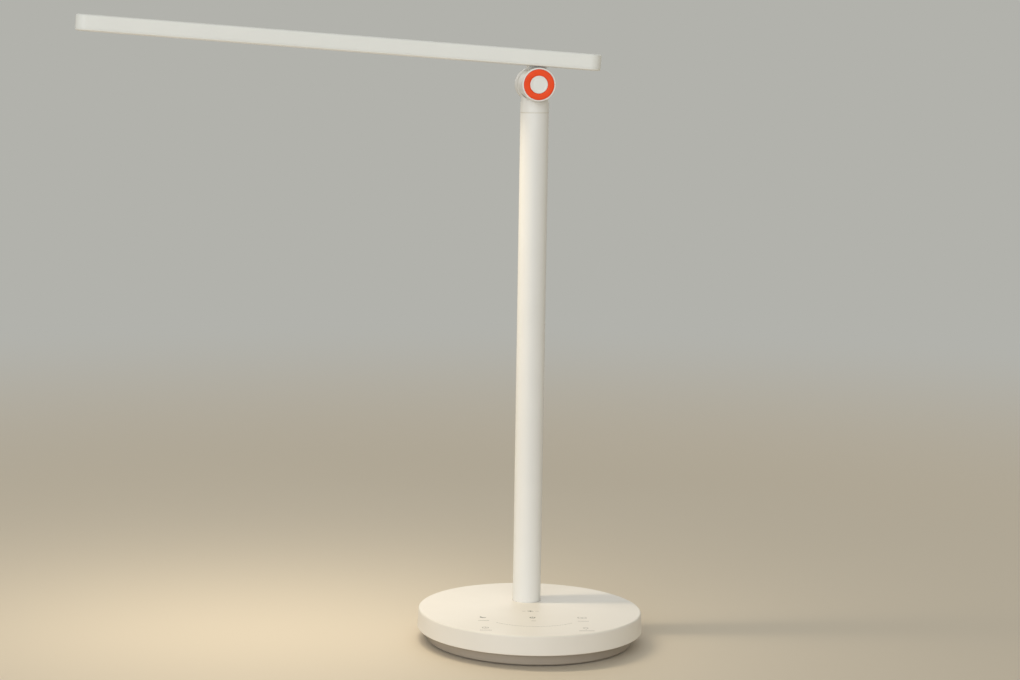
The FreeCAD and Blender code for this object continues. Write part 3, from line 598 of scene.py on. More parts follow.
def make_piece(name: str, work: Mesh, place: Matrix, finish: Finish) -> Piece:
    """Turn a mesh in local millimetres into a finished object at the origin.

    Args:
        name: name of the piece.
        work: its mesh, which is used up.
        place: the local frame.
        finish: its material.

    Returns:
        The object.
    """
    bmesh.ops.remove_doubles(work, verts=work.verts, dist=0.001)
    bmesh.ops.recalc_face_normals(work, faces=work.faces)
    mesh = bpy.data.meshes.new(name)
    work.to_mesh(mesh)
    work.free()
    mesh.transform(place @ Matrix.Scale(MM, 4))
    mesh.materials.append(finish.build())
    piece = add_object(name, mesh)
    even_shading(piece)
    return piece


def rounded(corners: Sequence[Triple], steps: int = 4) -> list[Pair]:
    """Outline with rounded corners.

    Args:
        corners: first and second coordinate of each corner, and the radius there.
        steps: segments in each arc.

    Returns:
        Points of the outline; the first and last corners stay sharp.
    """
    points: list[Pair] = []
    for number, (x, y, radius) in enumerate(corners):
        if radius <= 0.0 or number in (0, len(corners) - 1):
            points.append((x, y))
            continue
        here = Vector((x, y))
        before = (Vector(corners[number - 1][:2]) - here).normalized()
        after = (Vector(corners[number + 1][:2]) - here).normalized()
        half = math.acos(max(-1.0, min(1.0, before.dot(after)))) / 2.0
        reach = radius / math.tan(half)
        centre = here + (before + after).normalized() * (radius / math.sin(half))
        first = here + before * reach - centre
        last = here + after * reach - centre
        turn = first.angle_signed(last)
        for step in range(steps + 1):
            spot = centre + Matrix.Rotation(-turn * step / steps, 2) @ first
            points.append((spot.x, spot.y))
    return points


def neighbours(items: list, closed: bool) -> Iterable[tuple]:
    """Each item with the next one, and on a ring the last with the first."""
    return zip(items, items[1:] + items[:1] if closed else items[1:])


def lathe(profile: Sequence[Pair], count: int = 96, closed: bool = False) -> Mesh:
    """Turn a profile about the Z axis.

    Args:
        profile: radius and height of each point.
        count: segments round the axis.
        closed: whether the last point joins the first, as on a ring.

    Returns:
        The closed mesh.
    """
    work = bmesh.new()
    ways = [(math.cos(TAU * number / count), math.sin(TAU * number / count)) for number in range(count)]
    rows = []
    for radius, height in profile:
        if radius < 1e-6:
            rows.append([work.verts.new((0.0, 0.0, height))] * count)
        else:
            rows.append([work.verts.new((radius * x, radius * y, height)) for x, y in ways])
    for lower, upper in neighbours(rows, closed):
        for number in range(count):
            after = (number + 1) % count
            distinct = list(dict.fromkeys((lower[number], lower[after], upper[after], upper[number])))
            if len(distinct) > 2:
                work.faces.new(distinct)
    return work


@dataclass
class Repeats:
    """Like parts on a set of places, made by one Geometry Nodes tree.

    Each field of a kind of part is a named input of its tree, in millimetres, radians or as a count.
    """

    title: ClassVar[str] = "repeats"

    def sizes(self) -> dict[str, float]:
        """Named inputs of the tree and their values."""
        return {item.name.replace("_", " ").title(): getattr(self, item.name) for item in fields(self)}

    def part(self, tree: Tree, size: dict[str, Socket]) -> dict[str, Socket]:
        """Inputs of the node that puts the part on its places."""
        raise NotImplementedError

    def tree(self) -> Tree:
        """Build the tree, once for each kind of part.

        Returns:
            The tree.
        """
        made = bpy.data.node_groups.get(self.title)
        if made is not None:
            return made
        made = bpy.data.node_groups.new(self.title, "GeometryNodeTree")
        made.interface.new_socket("Geometry", in_out="OUTPUT", socket_type="NodeSocketGeometry")
        made.interface.new_socket("Places", in_out="INPUT", socket_type="NodeSocketGeometry")
        for label, value in self.sizes().items():
            kind = "NodeSocketInt" if isinstance(value, int) else "NodeSocketFloat"
            made.interface.new_socket(label, in_out="INPUT", socket_type=kind)
        made.interface.new_socket("Finish", in_out="INPUT", socket_type="NodeSocketMaterial")
        source = add_node(made, "NodeGroupInput")
        size = {label: source[label] for label in self.sizes()}
        parts = {"Points": source["Places"], **self.part(made, size)}
        placed = add_node(made, "GeometryNodeInstanceOnPoints", parts)
        plain = add_node(made, "GeometryNodeRealizeInstances", placed[:1])
        dressed = add_node(made, "GeometryNodeSetMaterial", {"Geometry": plain[0], "Material": source["Finish"]})
        add_node(made, "NodeGroupOutput", dressed[:1])
        return made

    def make(self, name: str, spots: Iterable[Sequence[float]], place: Matrix, finish: Finish) -> Piece:
        """Put the parts on their places and turn them into one plain mesh.

        Args:
            name: name of the piece.
            spots: places in millimetres of the local frame.
            place: the local frame.
            finish: material of the parts.

        Returns:
            The object, at the origin.
        """
        mesh = bpy.data.meshes.new(name)
        mesh.from_pydata([tuple(spot) for spot in spots], [], [])
        piece = add_object(name, mesh)
        modifier = piece.modifiers.new(self.title, "NODES")
        modifier.node_group = self.tree()
        values = {**self.sizes(), "Finish": finish.build()}
        for item in modifier.node_group.interface.items_tree:
            if item.item_type == "SOCKET" and item.in_out == "INPUT" and item.name in values:
                modifier[item.identifier] = values[item.name]
        apply_modifiers(piece)
        piece.data.transform(place @ Matrix.Scale(MM, 4))
        even_shading(piece)
        return piece


@dataclass
class CrossScrews(Repeats):
    """Pan head screws with a cross recess. Each place is the seat, and the head is on its +Z side.

    Attributes:
        head_radius: radius of the head.
        head_height: height of the head.
        shank_radius: radius of the shank.
        shank_length: length under the head.
        turn_seed: fixes how far each screw is turned.
    """

    head_radius: float
    head_height: float
    shank_radius: float
    shank_length: float
    turn_seed: int = 4

    title: ClassVar[str] = "cross recess screws"

    def part(self, tree: Tree, size: dict[str, Socket]) -> dict[str, Socket]:
        """Dome a head on a shank, cut its recess, and turn each screw at random.

        Args:
            tree: the geometry tree.
            size: sockets of the named inputs.

        Returns:
            The screw and its turn.
        """
        radius, height, length = size["Head Radius"], size["Head Height"], size["Shank Length"]
        # Shares of the head: its middle, where the dome starts, the cross's width and length, and how far the
        # shank reaches up into it.
        middle, brim, blade, wing, overlap = (
            add_node(tree, NODE_MATH, (whole, share), operation="MULTIPLY")[0]
            for whole, share in ((height, 0.5), (height, 0.75), (radius, 0.22), (radius, 1.15), (height, 0.3))
        )
        head = add_node(tree, "GeometryNodeMeshCylinder", {
            "Vertices": 40, "Side Segments": 2, "Fill Segments": 5, "Radius": radius, "Depth": height,
        })[0]
        lift = add_node(tree, "ShaderNodeCombineXYZ", {2: middle})[0]
        seated = add_node(tree, "GeometryNodeTransform", {"Geometry": head, "Translation": lift})[0]
        x, y, z = add_node(tree, "ShaderNodeSeparateXYZ", add_node(tree, "GeometryNodeInputPosition")[:1])
        flat = add_node(tree, "ShaderNodeCombineXYZ", (x, y))
        fall = add_node(tree, "ShaderNodeVectorMath", flat[:1], operation="LENGTH")["Value"]
        for operation, number in (("DIVIDE", radius), ("POWER", 2.6), ("MULTIPLY", -0.5), ("MULTIPLY", height)):
            fall = add_node(tree, NODE_MATH, (fall, number), operation=operation)[0]
        domed = add_node(tree, "GeometryNodeSetPosition", {
            "Geometry": seated,
            "Selection": add_node(tree, NODE_MATH, (z, brim), operation="GREATER_THAN")[0],
            "Offset": add_node(tree, "ShaderNodeCombineXYZ", {2: fall})[0],
        })[0]
        shank = add_node(tree, "GeometryNodeMeshCylinder", {
            "Vertices": 24,
            "Radius": size["Shank Radius"],
            "Depth": add_node(tree, NODE_MATH, (length, overlap), operation="ADD")[0],
        })[0]
        sink = add_node(tree, NODE_MATH, (overlap, length), operation="SUBTRACT")[0]
        down = {2: add_node(tree, NODE_MATH, (sink, 0.5), operation="MULTIPLY")[0]}
        lowered = add_node(tree, "GeometryNodeTransform", {
            "Geometry": shank, "Translation": add_node(tree, "ShaderNodeCombineXYZ", down)[0],
        })[0]
        bars = []
        for first, second in ((blade, wing), (wing, blade)):
            room = add_node(tree, "ShaderNodeCombineXYZ", (first, second, height))[0]
            raised = add_node(tree, "ShaderNodeCombineXYZ", {2: height})[0]
            bar = {"Geometry": add_node(tree, "GeometryNodeMeshCube", {"Size": room})[0], "Translation": raised}
            bars.append(add_node(tree, "GeometryNodeTransform", bar)[0])
        whole, cross = (
            add_node(tree, "GeometryNodeMeshBoolean", {1: solids}, operation="UNION", solver="EXACT")[0]
            for solids in ([domed, lowered], bars)
        )
        cut = {"operation": "DIFFERENCE", "solver": "EXACT"}
        screw = add_node(tree, "GeometryNodeMeshBoolean", (whole, cross), **cut)[0]
        chance = {2: 0.0, 3: TAU, "Seed": size["Turn Seed"]}
        turn = {2: add_node(tree, "FunctionNodeRandomValue", chance, data_type="FLOAT")[1]}
        return {"Instance": screw, "Rotation": add_node(tree, "ShaderNodeCombineXYZ", turn)[0]}


@dataclass
class LightChips(Repeats):
    """Packages of the light chips, open on their -Z side. Each place is the middle of a package.

    Attributes:
        length: package along the head.
        width: package across the head.
        height: package's height.
    """

    length: float
    width: float
    height: float

    title: ClassVar[str] = "light chip packages"

    def part(self, tree: Tree, size: dict[str, Socket]) -> dict[str, Socket]:
        """Cut a shallow round cup in a block.

        Args:
            tree: the geometry tree.
            size: sockets of the named inputs.

        Returns:
            The package.
        """
        room = add_node(tree, "ShaderNodeCombineXYZ", tuple(size.values()))[0]
        block = add_node(tree, "GeometryNodeMeshCube", {"Size": room})[0]
        # Shares of the package: the cup's radius, and how far down its middle is.
        radius, drop = (
            add_node(tree, NODE_MATH, (size[whole], share), operation="MULTIPLY")[0]
            for whole, share in (("Width", 0.4), ("Height", -0.65))
        )
        round_cup = {"Vertices": 16, "Radius": radius, "Depth": size["Height"]}
        cup = add_node(tree, "GeometryNodeMeshCylinder", round_cup)[0]
        down = add_node(tree, "ShaderNodeCombineXYZ", {2: drop})[0]
        lowered = add_node(tree, "GeometryNodeTransform", {"Geometry": cup, "Translation": down})[0]
        cut = {"operation": "DIFFERENCE", "solver": "EXACT"}
        return {"Instance": add_node(tree, "GeometryNodeMeshBoolean", (block, lowered), **cut)[0]}


@dataclass
class ChipLenses(Repeats):
    """Phosphor that fills the cups of the light chips. Each place is the middle of a package.

    Attributes:
        width: package's width, which sets the cup's.
        height: package's height.
    """

    width: float
    height: float

    title: ClassVar[str] = "light chip lenses"

    def part(self, tree: Tree, size: dict[str, Socket]) -> dict[str, Socket]:
        """Fill a cup with a disc.

        Args:
            tree: the geometry tree.
            size: sockets of the named inputs.

        Returns:
            The disc.
        """
        # Shares of the package: the disc's radius and thickness, and how far down its middle is.
        radius, depth, drop = (
            add_node(tree, NODE_MATH, (size[whole], share), operation="MULTIPLY")[0]
            for whole, share in (("Width", 0.39), ("Height", 0.25), ("Height", -0.3))
        )
        disc = add_node(tree, "GeometryNodeMeshCylinder", {"Vertices": 16, "Radius": radius, "Depth": depth})[0]
        down = add_node(tree, "ShaderNodeCombineXYZ", {2: drop})[0]
        return {"Instance": add_node(tree, "GeometryNodeTransform", {"Geometry": disc, "Translation": down})[0]}


@dataclass
class ArcDashes(Repeats):
    """Printed dashes along an arc that is centred on each place and open at the back.

    Attributes:
        radius: radius of the arc.
        start_angle: angle at which the arc starts, to the left of the front, in radians.
        sweep_angle: how far it goes, in radians.
        dashes: number of dashes.
        dash_length: length of each dash.
        line_width: width of the printed line.
        ink: thickness of the print.
    """

    radius: float = 43.7
    start_angle: float = math.radians(-131.6)
    sweep_angle: float = math.radians(83.2)
    dashes: int = 29
    dash_length: float = 1.75
    line_width: float = 0.45
    ink: float = 0.04

    title: ClassVar[str] = "printed dashes along an arc"

    def part(self, tree: Tree, size: dict[str, Socket]) -> dict[str, Socket]:
        """Lay flat blocks along an arc.

        Args:
            tree: the geometry tree.
            size: sockets of the named inputs.

        Returns:
            The dashed line.
        """
        bend = {name: size[name] for name in ("Radius", "Start Angle", "Sweep Angle")}
        arc = add_node(tree, "GeometryNodeCurveArc", {"Resolution": 64, **bend}, mode="RADIUS")[0]
        spread = {"Curve": arc, "Count": size["Dashes"]}
        spots = add_node(tree, "GeometryNodeCurveToPoints", spread, mode="COUNT")
        along = {"Vector": spots["Tangent"]}
        room = add_node(tree, "ShaderNodeCombineXYZ", (size["Dash Length"], size["Line Width"], size["Ink"]))[0]
        line = add_node(tree, "GeometryNodeInstanceOnPoints", {
            "Points": spots["Points"],
            "Instance": add_node(tree, "GeometryNodeMeshCube", {"Size": room})[0],
            "Rotation": add_node(tree, "FunctionNodeAlignRotationToVector", along, axis="X", pivot_axis="Z")[0],
        })
        return {"Instance": line[0]}


@dataclass(frozen=True)
class TouchKey:
    """One touch key as it is printed.

    Attributes:
        mark: its symbol.
        x: place across the base.
        y: place along the base.
        line_width: width of the symbol's lines.
        label_width: width of the plain line in front of the symbol; 0 for none.
        label_drop: how far in front of the symbol that line lies.
    """

    mark: KeyMark
    x: float
    y: float
    line_width: float = 0.45
    label_width: float = 0.0
    label_drop: float = 10.5


@dataclass
class KeyPrint:
    """Symbols printed on the base: thin raised ink, as screen printing leaves it.

    Attributes:
        label_line: width of the plain line in front of a symbol.
        ink: thickness of the print above the surface.
        bite: depth of the print below the surface.
    """

    label_line: float = 0.7
    ink: float = 0.03
    bite: float = 0.02

    def arc(self, x: float, y: float, radius: float, start: float, end: float, steps: int = 24) -> list[Pair]:
        """Points along an arc about a centre, from one angle in degrees to another."""
        angles = [math.radians(start + (end - start) * step / steps) for step in range(steps + 1)]
        return [(x + radius * math.cos(angle), y + radius * math.sin(angle)) for angle in angles]

    def symbol(self, mark: KeyMark) -> tuple[list[list[Pair]], list[list[Pair]], list[list[Pair]]]:
        """Open lines, closed lines and filled patches of a symbol about its middle.

        Args:
            mark: which symbol.

        Returns:
            The three lists of point lists.
        """
        if mark is KeyMark.SUN:
            ways = [(math.cos(TAU * number / 8), math.sin(TAU * number / 8)) for number in range(8)]
            rays = [[(reach * x, reach * y) for reach in (1.8, 2.6)] for x, y in ways]
            sides = [[(side * 3.9, 0.0), (side * 6.6, 0.0)] for side in (-1, 1)]
            return rays + sides, [], [self.arc(0.0, 0.0, 1.2, 0.0, 345.0, 23)]
        if mark is KeyMark.POWER:
            return [self.arc(0.0, -0.2, 1.8, 125.0, 415.0), [(0.0, 0.1), (0.0, 2.3)]], [], []
        if mark is KeyMark.BOOK:
            pages = [(3.2, 2.0), (0.0, 1.4), (-3.2, 2.0), (-3.2, -1.4), (0.0, -2.0), (3.2, -1.4)]
            return [[(0.0, 0.9), (0.0, -1.4)]], [pages], []
        if mark is KeyMark.CLOCK:
            return [[(0.0, 1.5), (0.0, 0.0), (1.2, 0.0)]], [self.arc(0.0, 0.0, 2.4, 0.0, 345.0, 23)], []
        if mark is KeyMark.MOON:
            outer = self.arc(0.0, 0.0, 2.6, 136.5, 343.5)
            return [], [], [outer + self.arc(1.02, 1.76, 2.41, 328.0, 152.0)]
        foot = [[(-0.9, -1.9), (0.9, -1.9)], [(-0.5, -2.6), (0.5, -2.6)]]
        return [self.arc(0.0, 0.7, 1.8, -55.0, 235.0)] + foot, [], []

    def prism(self, work: Mesh, faces: Sequence[Sequence[Pair]], height: float) -> None:
        """Raise flat faces that share their edges into closed ink.

        Args:
            work: mesh that takes the ink.
            faces: outlines that meet edge to edge.
            height: height of the printed surface.
        """
        levels = (height - self.bite, height + self.ink)
        made: dict[Pair, list[bmesh.types.BMVert]] = {}
        rims: dict[tuple[Pair, Pair], tuple] = {}
        for outline in faces:
            keys = [(round(x, 4), round(y, 4)) for x, y in outline]
            for key, (x, y) in zip(keys, outline):
                if key not in made:
                    made[key] = [work.verts.new((x, y, level)) for level in levels]
            work.faces.new([made[key][0] for key in reversed(keys)])
            work.faces.new([made[key][1] for key in keys])
            for first, second in neighbours(keys, True):
                if rims.pop((second, first), None) is None:
                    rims[first, second] = (*made[first], *reversed(made[second]))
        for around in rims.values():
            work.faces.new(around)

    def line(self, points: Sequence[Pair], width: float, closed: bool = False) -> list[list[Pair]]:
        """Widen a line into quads.

        Args:
            points: points of the line.
            width: width of the line.
            closed: whether its end joins its start.

        Returns:
            Outlines of the quads.
        """
        spots = [Vector(point) for point in points]
        ways = [(after - before).normalized() for before, after in neighbours(spots, closed)]
        rails = []
        for number, here in enumerate(spots):
            near = ways[number - 1:number] + ways[number:number + 1]
            if closed and not number:
                near = [ways[-1], ways[0]]
            sides = [Vector((-way.y, way.x)) for way in near]
            across = sum(sides, Vector((0.0, 0.0))).normalized()
            offset = across * (width / 2.0 / max(0.5, across.dot(sides[0])))
            rails.append((tuple(here + offset), tuple(here - offset)))
        return [[left, right, next_right, next_left]
                for (left, right), (next_left, next_right) in neighbours(rails, closed)]

    def draw(self, keys: Sequence[TouchKey], height: float) -> Mesh:
        """Print the keys' symbols and the plain lines in front of them.

        Args:
            keys: the touch keys.
            height: height of the printed surface.

        Returns:
            Mesh of the ink.
        """
        work = bmesh.new()
        for key in keys:
            lines, loops, patches = self.symbol(key.mark)
            groups = [self.line(points, key.line_width) for points in lines]
            groups += [self.line(points, key.line_width, True) for points in loops]
            groups += [[patch] for patch in patches]
            if key.label_width:
                reach = key.label_width / 2
                groups.append(self.line([(-reach, -key.label_drop), (reach, -key.label_drop)], self.label_line))
            for group in groups:
                placed = [[(key.x + point[0], key.y + point[1]) for point in outline] for outline in group]
                self.prism(work, placed, height)
        return work


@dataclass(kw_only=True)
class SubAssembly:
    """Pieces that ride on one body.

    Attributes:
        place: local frame, in millimetres of which the pieces are shaped.
        edge: width of the broken edges.
    """

    place: Matrix
    edge: float

    body: ClassVar[Body]

    def hand_over(self, piece: Piece, slot: str = "", *nodes: str) -> None:
        """Tie a finished piece to the body and hide the CAD nodes that it replaces.

        Args:
            piece: the finished piece.
            slot: the record's material slot, or nothing; not used.
            nodes: CAD nodes that it replaces.
        """
        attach(piece, self.body.value)
        if nodes:
            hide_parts(*nodes)
        log.info("%s rides on %s, %d faces", piece.name, self.body.value, len(piece.data.polygons))

    def shell(self, node: str, name: str, slot: str, finish: Finish, edge: float = 0.0) -> None:
        """A CAD node's shape with its edges broken.

        Args:
            node: name of the CAD node.
            name: name of the piece.
            slot: its material slot.
            finish: its material.
            edge: width of the broken edges, where it isn't the usual one.
        """
        work = eased_copy(node, self.place, edge or self.edge)
        self.hand_over(make_piece(name, work, self.place, finish), slot, node)

    def screws(self, node: str, head_height: float, shank_radius: float) -> None:
        """Screws with a cross recess, driven in from below, where a node has plain ones.

        Args:
            node: name of the CAD node.
            head_height: height of the heads.
            shank_radius: radius of the shanks.
        """
        boxes = solids_of(node, self.place)
        low, high = boxes[0]
        below = Matrix.Rotation(math.pi, 4, "X")
        spots = [((a.x + b.x) / 2, -(a.y + b.y) / 2, -(low.z + head_height)) for a, b in boxes]
        screws = CrossScrews((high.x - low.x) / 2, head_height, shank_radius, high.z - low.z - head_height)
        self.hand_over(screws.make(node + "_cross", spots, self.place @ below, ZINC_PLATE), "zinc_steel", node)

    def dress_nodes(self) -> None:
        """Give the body's CAD nodes, which stay as they are, their real materials."""
        for name in frame["record"]["behaviour"]["bodies"][self.body.value]:
            for slot in frame["nodes"][name].material_slots:
                finish = FINISH_OF_SLOT.get(slot.material.name)
                if finish is not None:
                    slot.material = finish.build()
        log.info("%s: CAD nodes dressed", self.body.value)


@dataclass(kw_only=True)
class Base(SubAssembly):
    """Round base with its touch keys, foot pad, plinth, inlet and pole.

    Attributes:
        hinge: place of the hinge, over the pole's axis, in metres.
        pole_edge: width of the pole's broken edges, at the fine seam under the collar.
        seam_depth: how far the bush's flange lies behind the pole's surface in that seam.
        seam_fill: how far the flange reaches into the running gap under the collar.
        bush_bore: radius of the bush's bore.
        bush_radius: radius of the bush inside the pole.
        pad_ribs: concentric ribs under the foot pad.
        pad_rim: width of the plain rim round them, and half the plain middle.
        rib_depth: depth of the grooves between them.
        groove_share: share of the ribs' spacing that a groove takes.
        groove_lean: how far each wall of a groove leans in.
        screw: height of the screws' heads and radius of their shanks.
        keys: the touch keys.
        slider_back: centre of the slider's arc.
    """

    body: ClassVar[Body] = Body.BASE

    hinge: Vector
    edge: float = 0.15
    pole_edge: float = 0.06
    seam_depth: float = 0.05
    seam_fill: float = 0.07
    bush_bore: float = 7.05
    bush_radius: float = 10.05
    pad_ribs: int = 14
    pad_rim: float = 3.0
    rib_depth: float = 0.5
    groove_share: float = 0.45
    groove_lean: float = 0.2
    screw: Pair = (1.7, 1.5)
    keys: tuple[TouchKey, ...] = (
        TouchKey(KeyMark.SUN, 0.0, -10.5, 0.5),
        TouchKey(KeyMark.POWER, 0.0, -31.2, 1.1, 3.6),
        TouchKey(KeyMark.MOON, -39.2, -30.8, label_width=8.5),
        TouchKey(KeyMark.BOOK, 39.2, -31.2, label_width=8.5),
        TouchKey(KeyMark.CLOCK, -39.3, -64.0, label_width=9.5, label_drop=7.6),
        TouchKey(KeyMark.BULB, 38.8, -64.0, label_width=12.0, label_drop=7.6),
    )
    slider_back: Pair = (0.0, -15.7)

    def seam(self) -> None:
        """Swivel bush, whose flange shows as the fine seam under the collar."""
        place = Matrix.Translation((self.hinge.x, self.hinge.y, 0.0))
        low, high = box_in("swivel_bush", place)
        pole = box_in("pole_tube", place)[1]
        flush = pole.x - self.seam_depth
        top = high.z + self.seam_fill
        profile = [
            (self.bush_bore, low.z), (self.bush_radius, low.z), (self.bush_radius, pole.z), (flush, pole.z),
            (flush, top), (self.bush_bore, top),
        ]
        piece = make_piece("swivel_bush_flush", lathe(profile, closed=True), place, NATURAL_ACETAL)
        self.hand_over(piece, "acetal", "swivel_bush")

    def foot(self) -> None:
        """Foot pad with concentric grip ribs."""
        low, high = box_in("foot_pad", self.place)
        radius, floor = high.x, low.z + self.rib_depth
        corners = [(0.0, high.z, 0.0), (radius, high.z, 0.0), (radius, low.z, 0.4)]
        pitch = (radius - 2.0 * self.pad_rim) / self.pad_ribs
        for number in range(self.pad_ribs):
            outer = radius - self.pad_rim - number * pitch
            inner = outer - pitch * self.groove_share
            corners += [
                (outer, low.z, 0.2),
                (outer - self.groove_lean, floor, 0.15),
                (inner + self.groove_lean, floor, 0.15),
                (inner, low.z, 0.2),
            ]
        corners.append((0.0, low.z, 0.0))
        piece = make_piece("foot_pad_ribbed", lathe(rounded(corners, 2), 120), self.place, RUBBER)
        self.hand_over(piece, "rubber_pad", "foot_pad")

    def prints(self) -> None:
        """Symbols over the keys and the dashes of the slider."""
        top = box_in("base_cover", self.place)[1].z
        self.hand_over(make_piece("key_marks", KeyPrint().draw(self.keys, top), self.place, PRINT_INK))
        self.hand_over(ArcDashes().make("slider_marks", [(*self.slider_back, top)], self.place, PRINT_INK))

    def build(self) -> None:
        """Make and dress the whole base."""
        # The cover's white ABS is warmed by painted warm lamplight.
        self.shell("base_cover", "base_cover_shell", "white_shell", LAMPLIT_WHITE_ABS)
        self.shell("base_bottom", "base_plinth", "grey_plinth", GREY_ABS)
        self.shell("power_jack", "power_inlet", "black_plastic", BLACK_NYLON)
        self.shell("pole_tube", "pole", "white_paint", WHITE_POWDER_COAT, self.pole_edge)
        self.seam()
        self.foot()
        self.screws("cover_screws", *self.screw)
        self.prints()
        self.dress_nodes()


@dataclass(kw_only=True)
class Neck(SubAssembly):
    """Collar, neck and hinge barrel with an orange ring and a white cap at each end.

    Attributes:
        ring_bore: radius of the ring's opening.
        ring_crown: how far the ring's face bulges.
        crown_flat: half the width of the bulge's flat top.
        cap_button: radius of the part of the cap that fills the ring.
        cap_stem: radius of the cap's stem.
        cap_flange: thickness of the flange that holds the cap behind the ring.
        cap_dish: depth of the cap's hollow.
        cap_rim: width of the cap's raised rim.
        cap_slope: width of the slope from the rim into the hollow.
    """

    body: ClassVar[Body] = Body.NECK

    edge: float = 0.06
    ring_bore: float = 7.05
    ring_crown: float = 0.25
    crown_flat: float = 1.2
    cap_button: float = 6.95
    cap_stem: float = 2.3
    cap_flange: float = 0.6
    cap_dish: float = 0.3
    cap_rim: float = 1.1
    cap_slope: float = 0.7

    def ring(self, end: str, place: Matrix) -> None:
        """Orange ring with a crowned face.

        Args:
            end: name of the barrel's end.
            place: frame of that end, with Z out of it.
        """
        node = "orange_ring_" + end
        low, high = box_in(node, place)
        shoulder = high.z - self.ring_crown
        middle = (high.x + self.ring_bore) / 2
        profile = rounded([
            (self.ring_bore, low.z, 0.0),
            (high.x, low.z, 0.0),
            (high.x, shoulder, 0.35),
            (middle + self.crown_flat, high.z, 2.0),
            (middle - self.crown_flat, high.z, 2.0),
            (self.ring_bore, shoulder, 0.35),
            (self.ring_bore, low.z, 0.0),
        ])[:-1]
        piece = make_piece(node + "_crowned", lathe(profile, closed=True), place, ORANGE_ABS)
        self.hand_over(piece, "orange_plastic", node)

    def cap(self, end: str, place: Matrix) -> None:
        """White cap with a raised rim round a shallow dish.

        Args:
            end: name of the barrel's end.
            place: frame of that end, with Z out of it.
        """
        node = "centre_cap_" + end
        low, high = box_in(node, place)
        seat = box_in("orange_ring_" + end, place)[0].z
        floor = high.z - self.cap_dish
        rim = self.cap_button - self.cap_rim
        profile = rounded([
            (0.0, low.z, 0.0),
            (self.cap_stem, low.z, 0.3),
            (self.cap_stem, seat - self.cap_flange, 0.0),
            (high.x, seat - self.cap_flange, 0.0),
            (high.x, seat, 0.0),
            (self.cap_button, seat, 0.0),
            (self.cap_button, high.z, 0.45),
            (rim, high.z, 0.4),
            (rim - self.cap_slope, floor, 0.8),
            (0.0, floor + 0.05, 0.0),
        ])
        self.hand_over(make_piece(node + "_dished", lathe(profile), place, WHITE_ABS), "white_shell", node)

    def build(self) -> None:
        """Make and dress the neck and hinge."""
        self.shell("hinge_neck", "neck_and_barrel", "white_paint", WHITE_POWDER_COAT)
        for side in Side:
            outward = self.place @ Matrix.Rotation(math.radians(side.value), 4, "X")
            self.ring(side.name.lower(), outward)
            self.cap(side.name.lower(), outward)
        self.dress_nodes()


@dataclass(kw_only=True)
class Head(SubAssembly):
    """Light bar: bracket, cover, frame, light window and chips.

    Attributes:
        turn: the head's turn about X, Y and Z, in radians.
        frame_screw: height of the frame screws' heads and radius of their shanks.
        bracket_screw: the same for the bracket's.
    """

    body: ClassVar[Body] = Body.HEAD

    turn: Triple
    edge: float = 0.2
    frame_screw: Pair = (1.4, 1.25)
    bracket_screw: Pair = (1.8, 1.5)

    def window(self) -> None:
        """Opal plate that glows from the chips behind it."""
        low, high = box_in("diffuser", self.place)
        chips = solids_of("led_chips", self.place)
        lefts = sorted({round(box[0].x, 1) for box in chips})
        # Opal acrylic with a satin face: milky and even, a little brighter over the chips.
        opal = OpalPlate(
            "opal acrylic, satin, lit", "#F4F3EE", 0.4, tone=0.02, ior=1.49,
            centre=tuple(self.place @ ((low + high) / 2 * MM)),
            turn=self.turn,
            half_length_mm=(high.x - low.x) / 2,
            half_width_mm=(high.y - low.y) / 2,
            pitch_mm=lefts[1] - lefts[0],
            row_mm=max(box[0].y + box[1].y for box in chips) / 2,
        )
        self.shell("diffuser", "light_window", "opal_diffuser", opal)

    def chips(self) -> None:
        """Light chips with their phosphor."""
        boxes = solids_of("led_chips", self.place)
        spots = [(a + b) / 2 for a, b in boxes]
        size = boxes[0][1] - boxes[0][0]
        packages = LightChips(*size).make("light_chip_packages", spots, self.place, CHIP_PACKAGE)
        self.hand_over(packages, "light_chip", "led_chips")
        lenses = ChipLenses(size.y, size.z).make("light_chip_phosphor", spots, self.place, PHOSPHOR)
        self.hand_over(lenses, "light_chip")

    def build(self) -> None:
        """Make and dress the head."""
        self.shell("head_cover", "head_cover_shell", "white_shell", WHITE_ABS)
        self.shell("head_frame", "head_lower_frame", "white_shell", WHITE_ABS)
        self.shell("head_bracket", "head_knuckle", "white_paint", WHITE_POWDER_COAT)
        self.window()
        self.chips()
        self.screws("frame_screws", *self.frame_screw)
        self.screws("bracket_screws", *self.bracket_screw)
        self.dress_nodes()


@dataclass(frozen=True)
class SoftLight:
    """One broad, even light.

    Attributes:
        name: its name.
        source: direction that it comes from.
        strength: light on a surface that faces it, where 1 shows a white surface as white.
        breadth: how many degrees of the sky it fills.
        tint: sRGB colour.
    """

    name: str
    source: Triple
    strength: float
    breadth: float
    tint: str


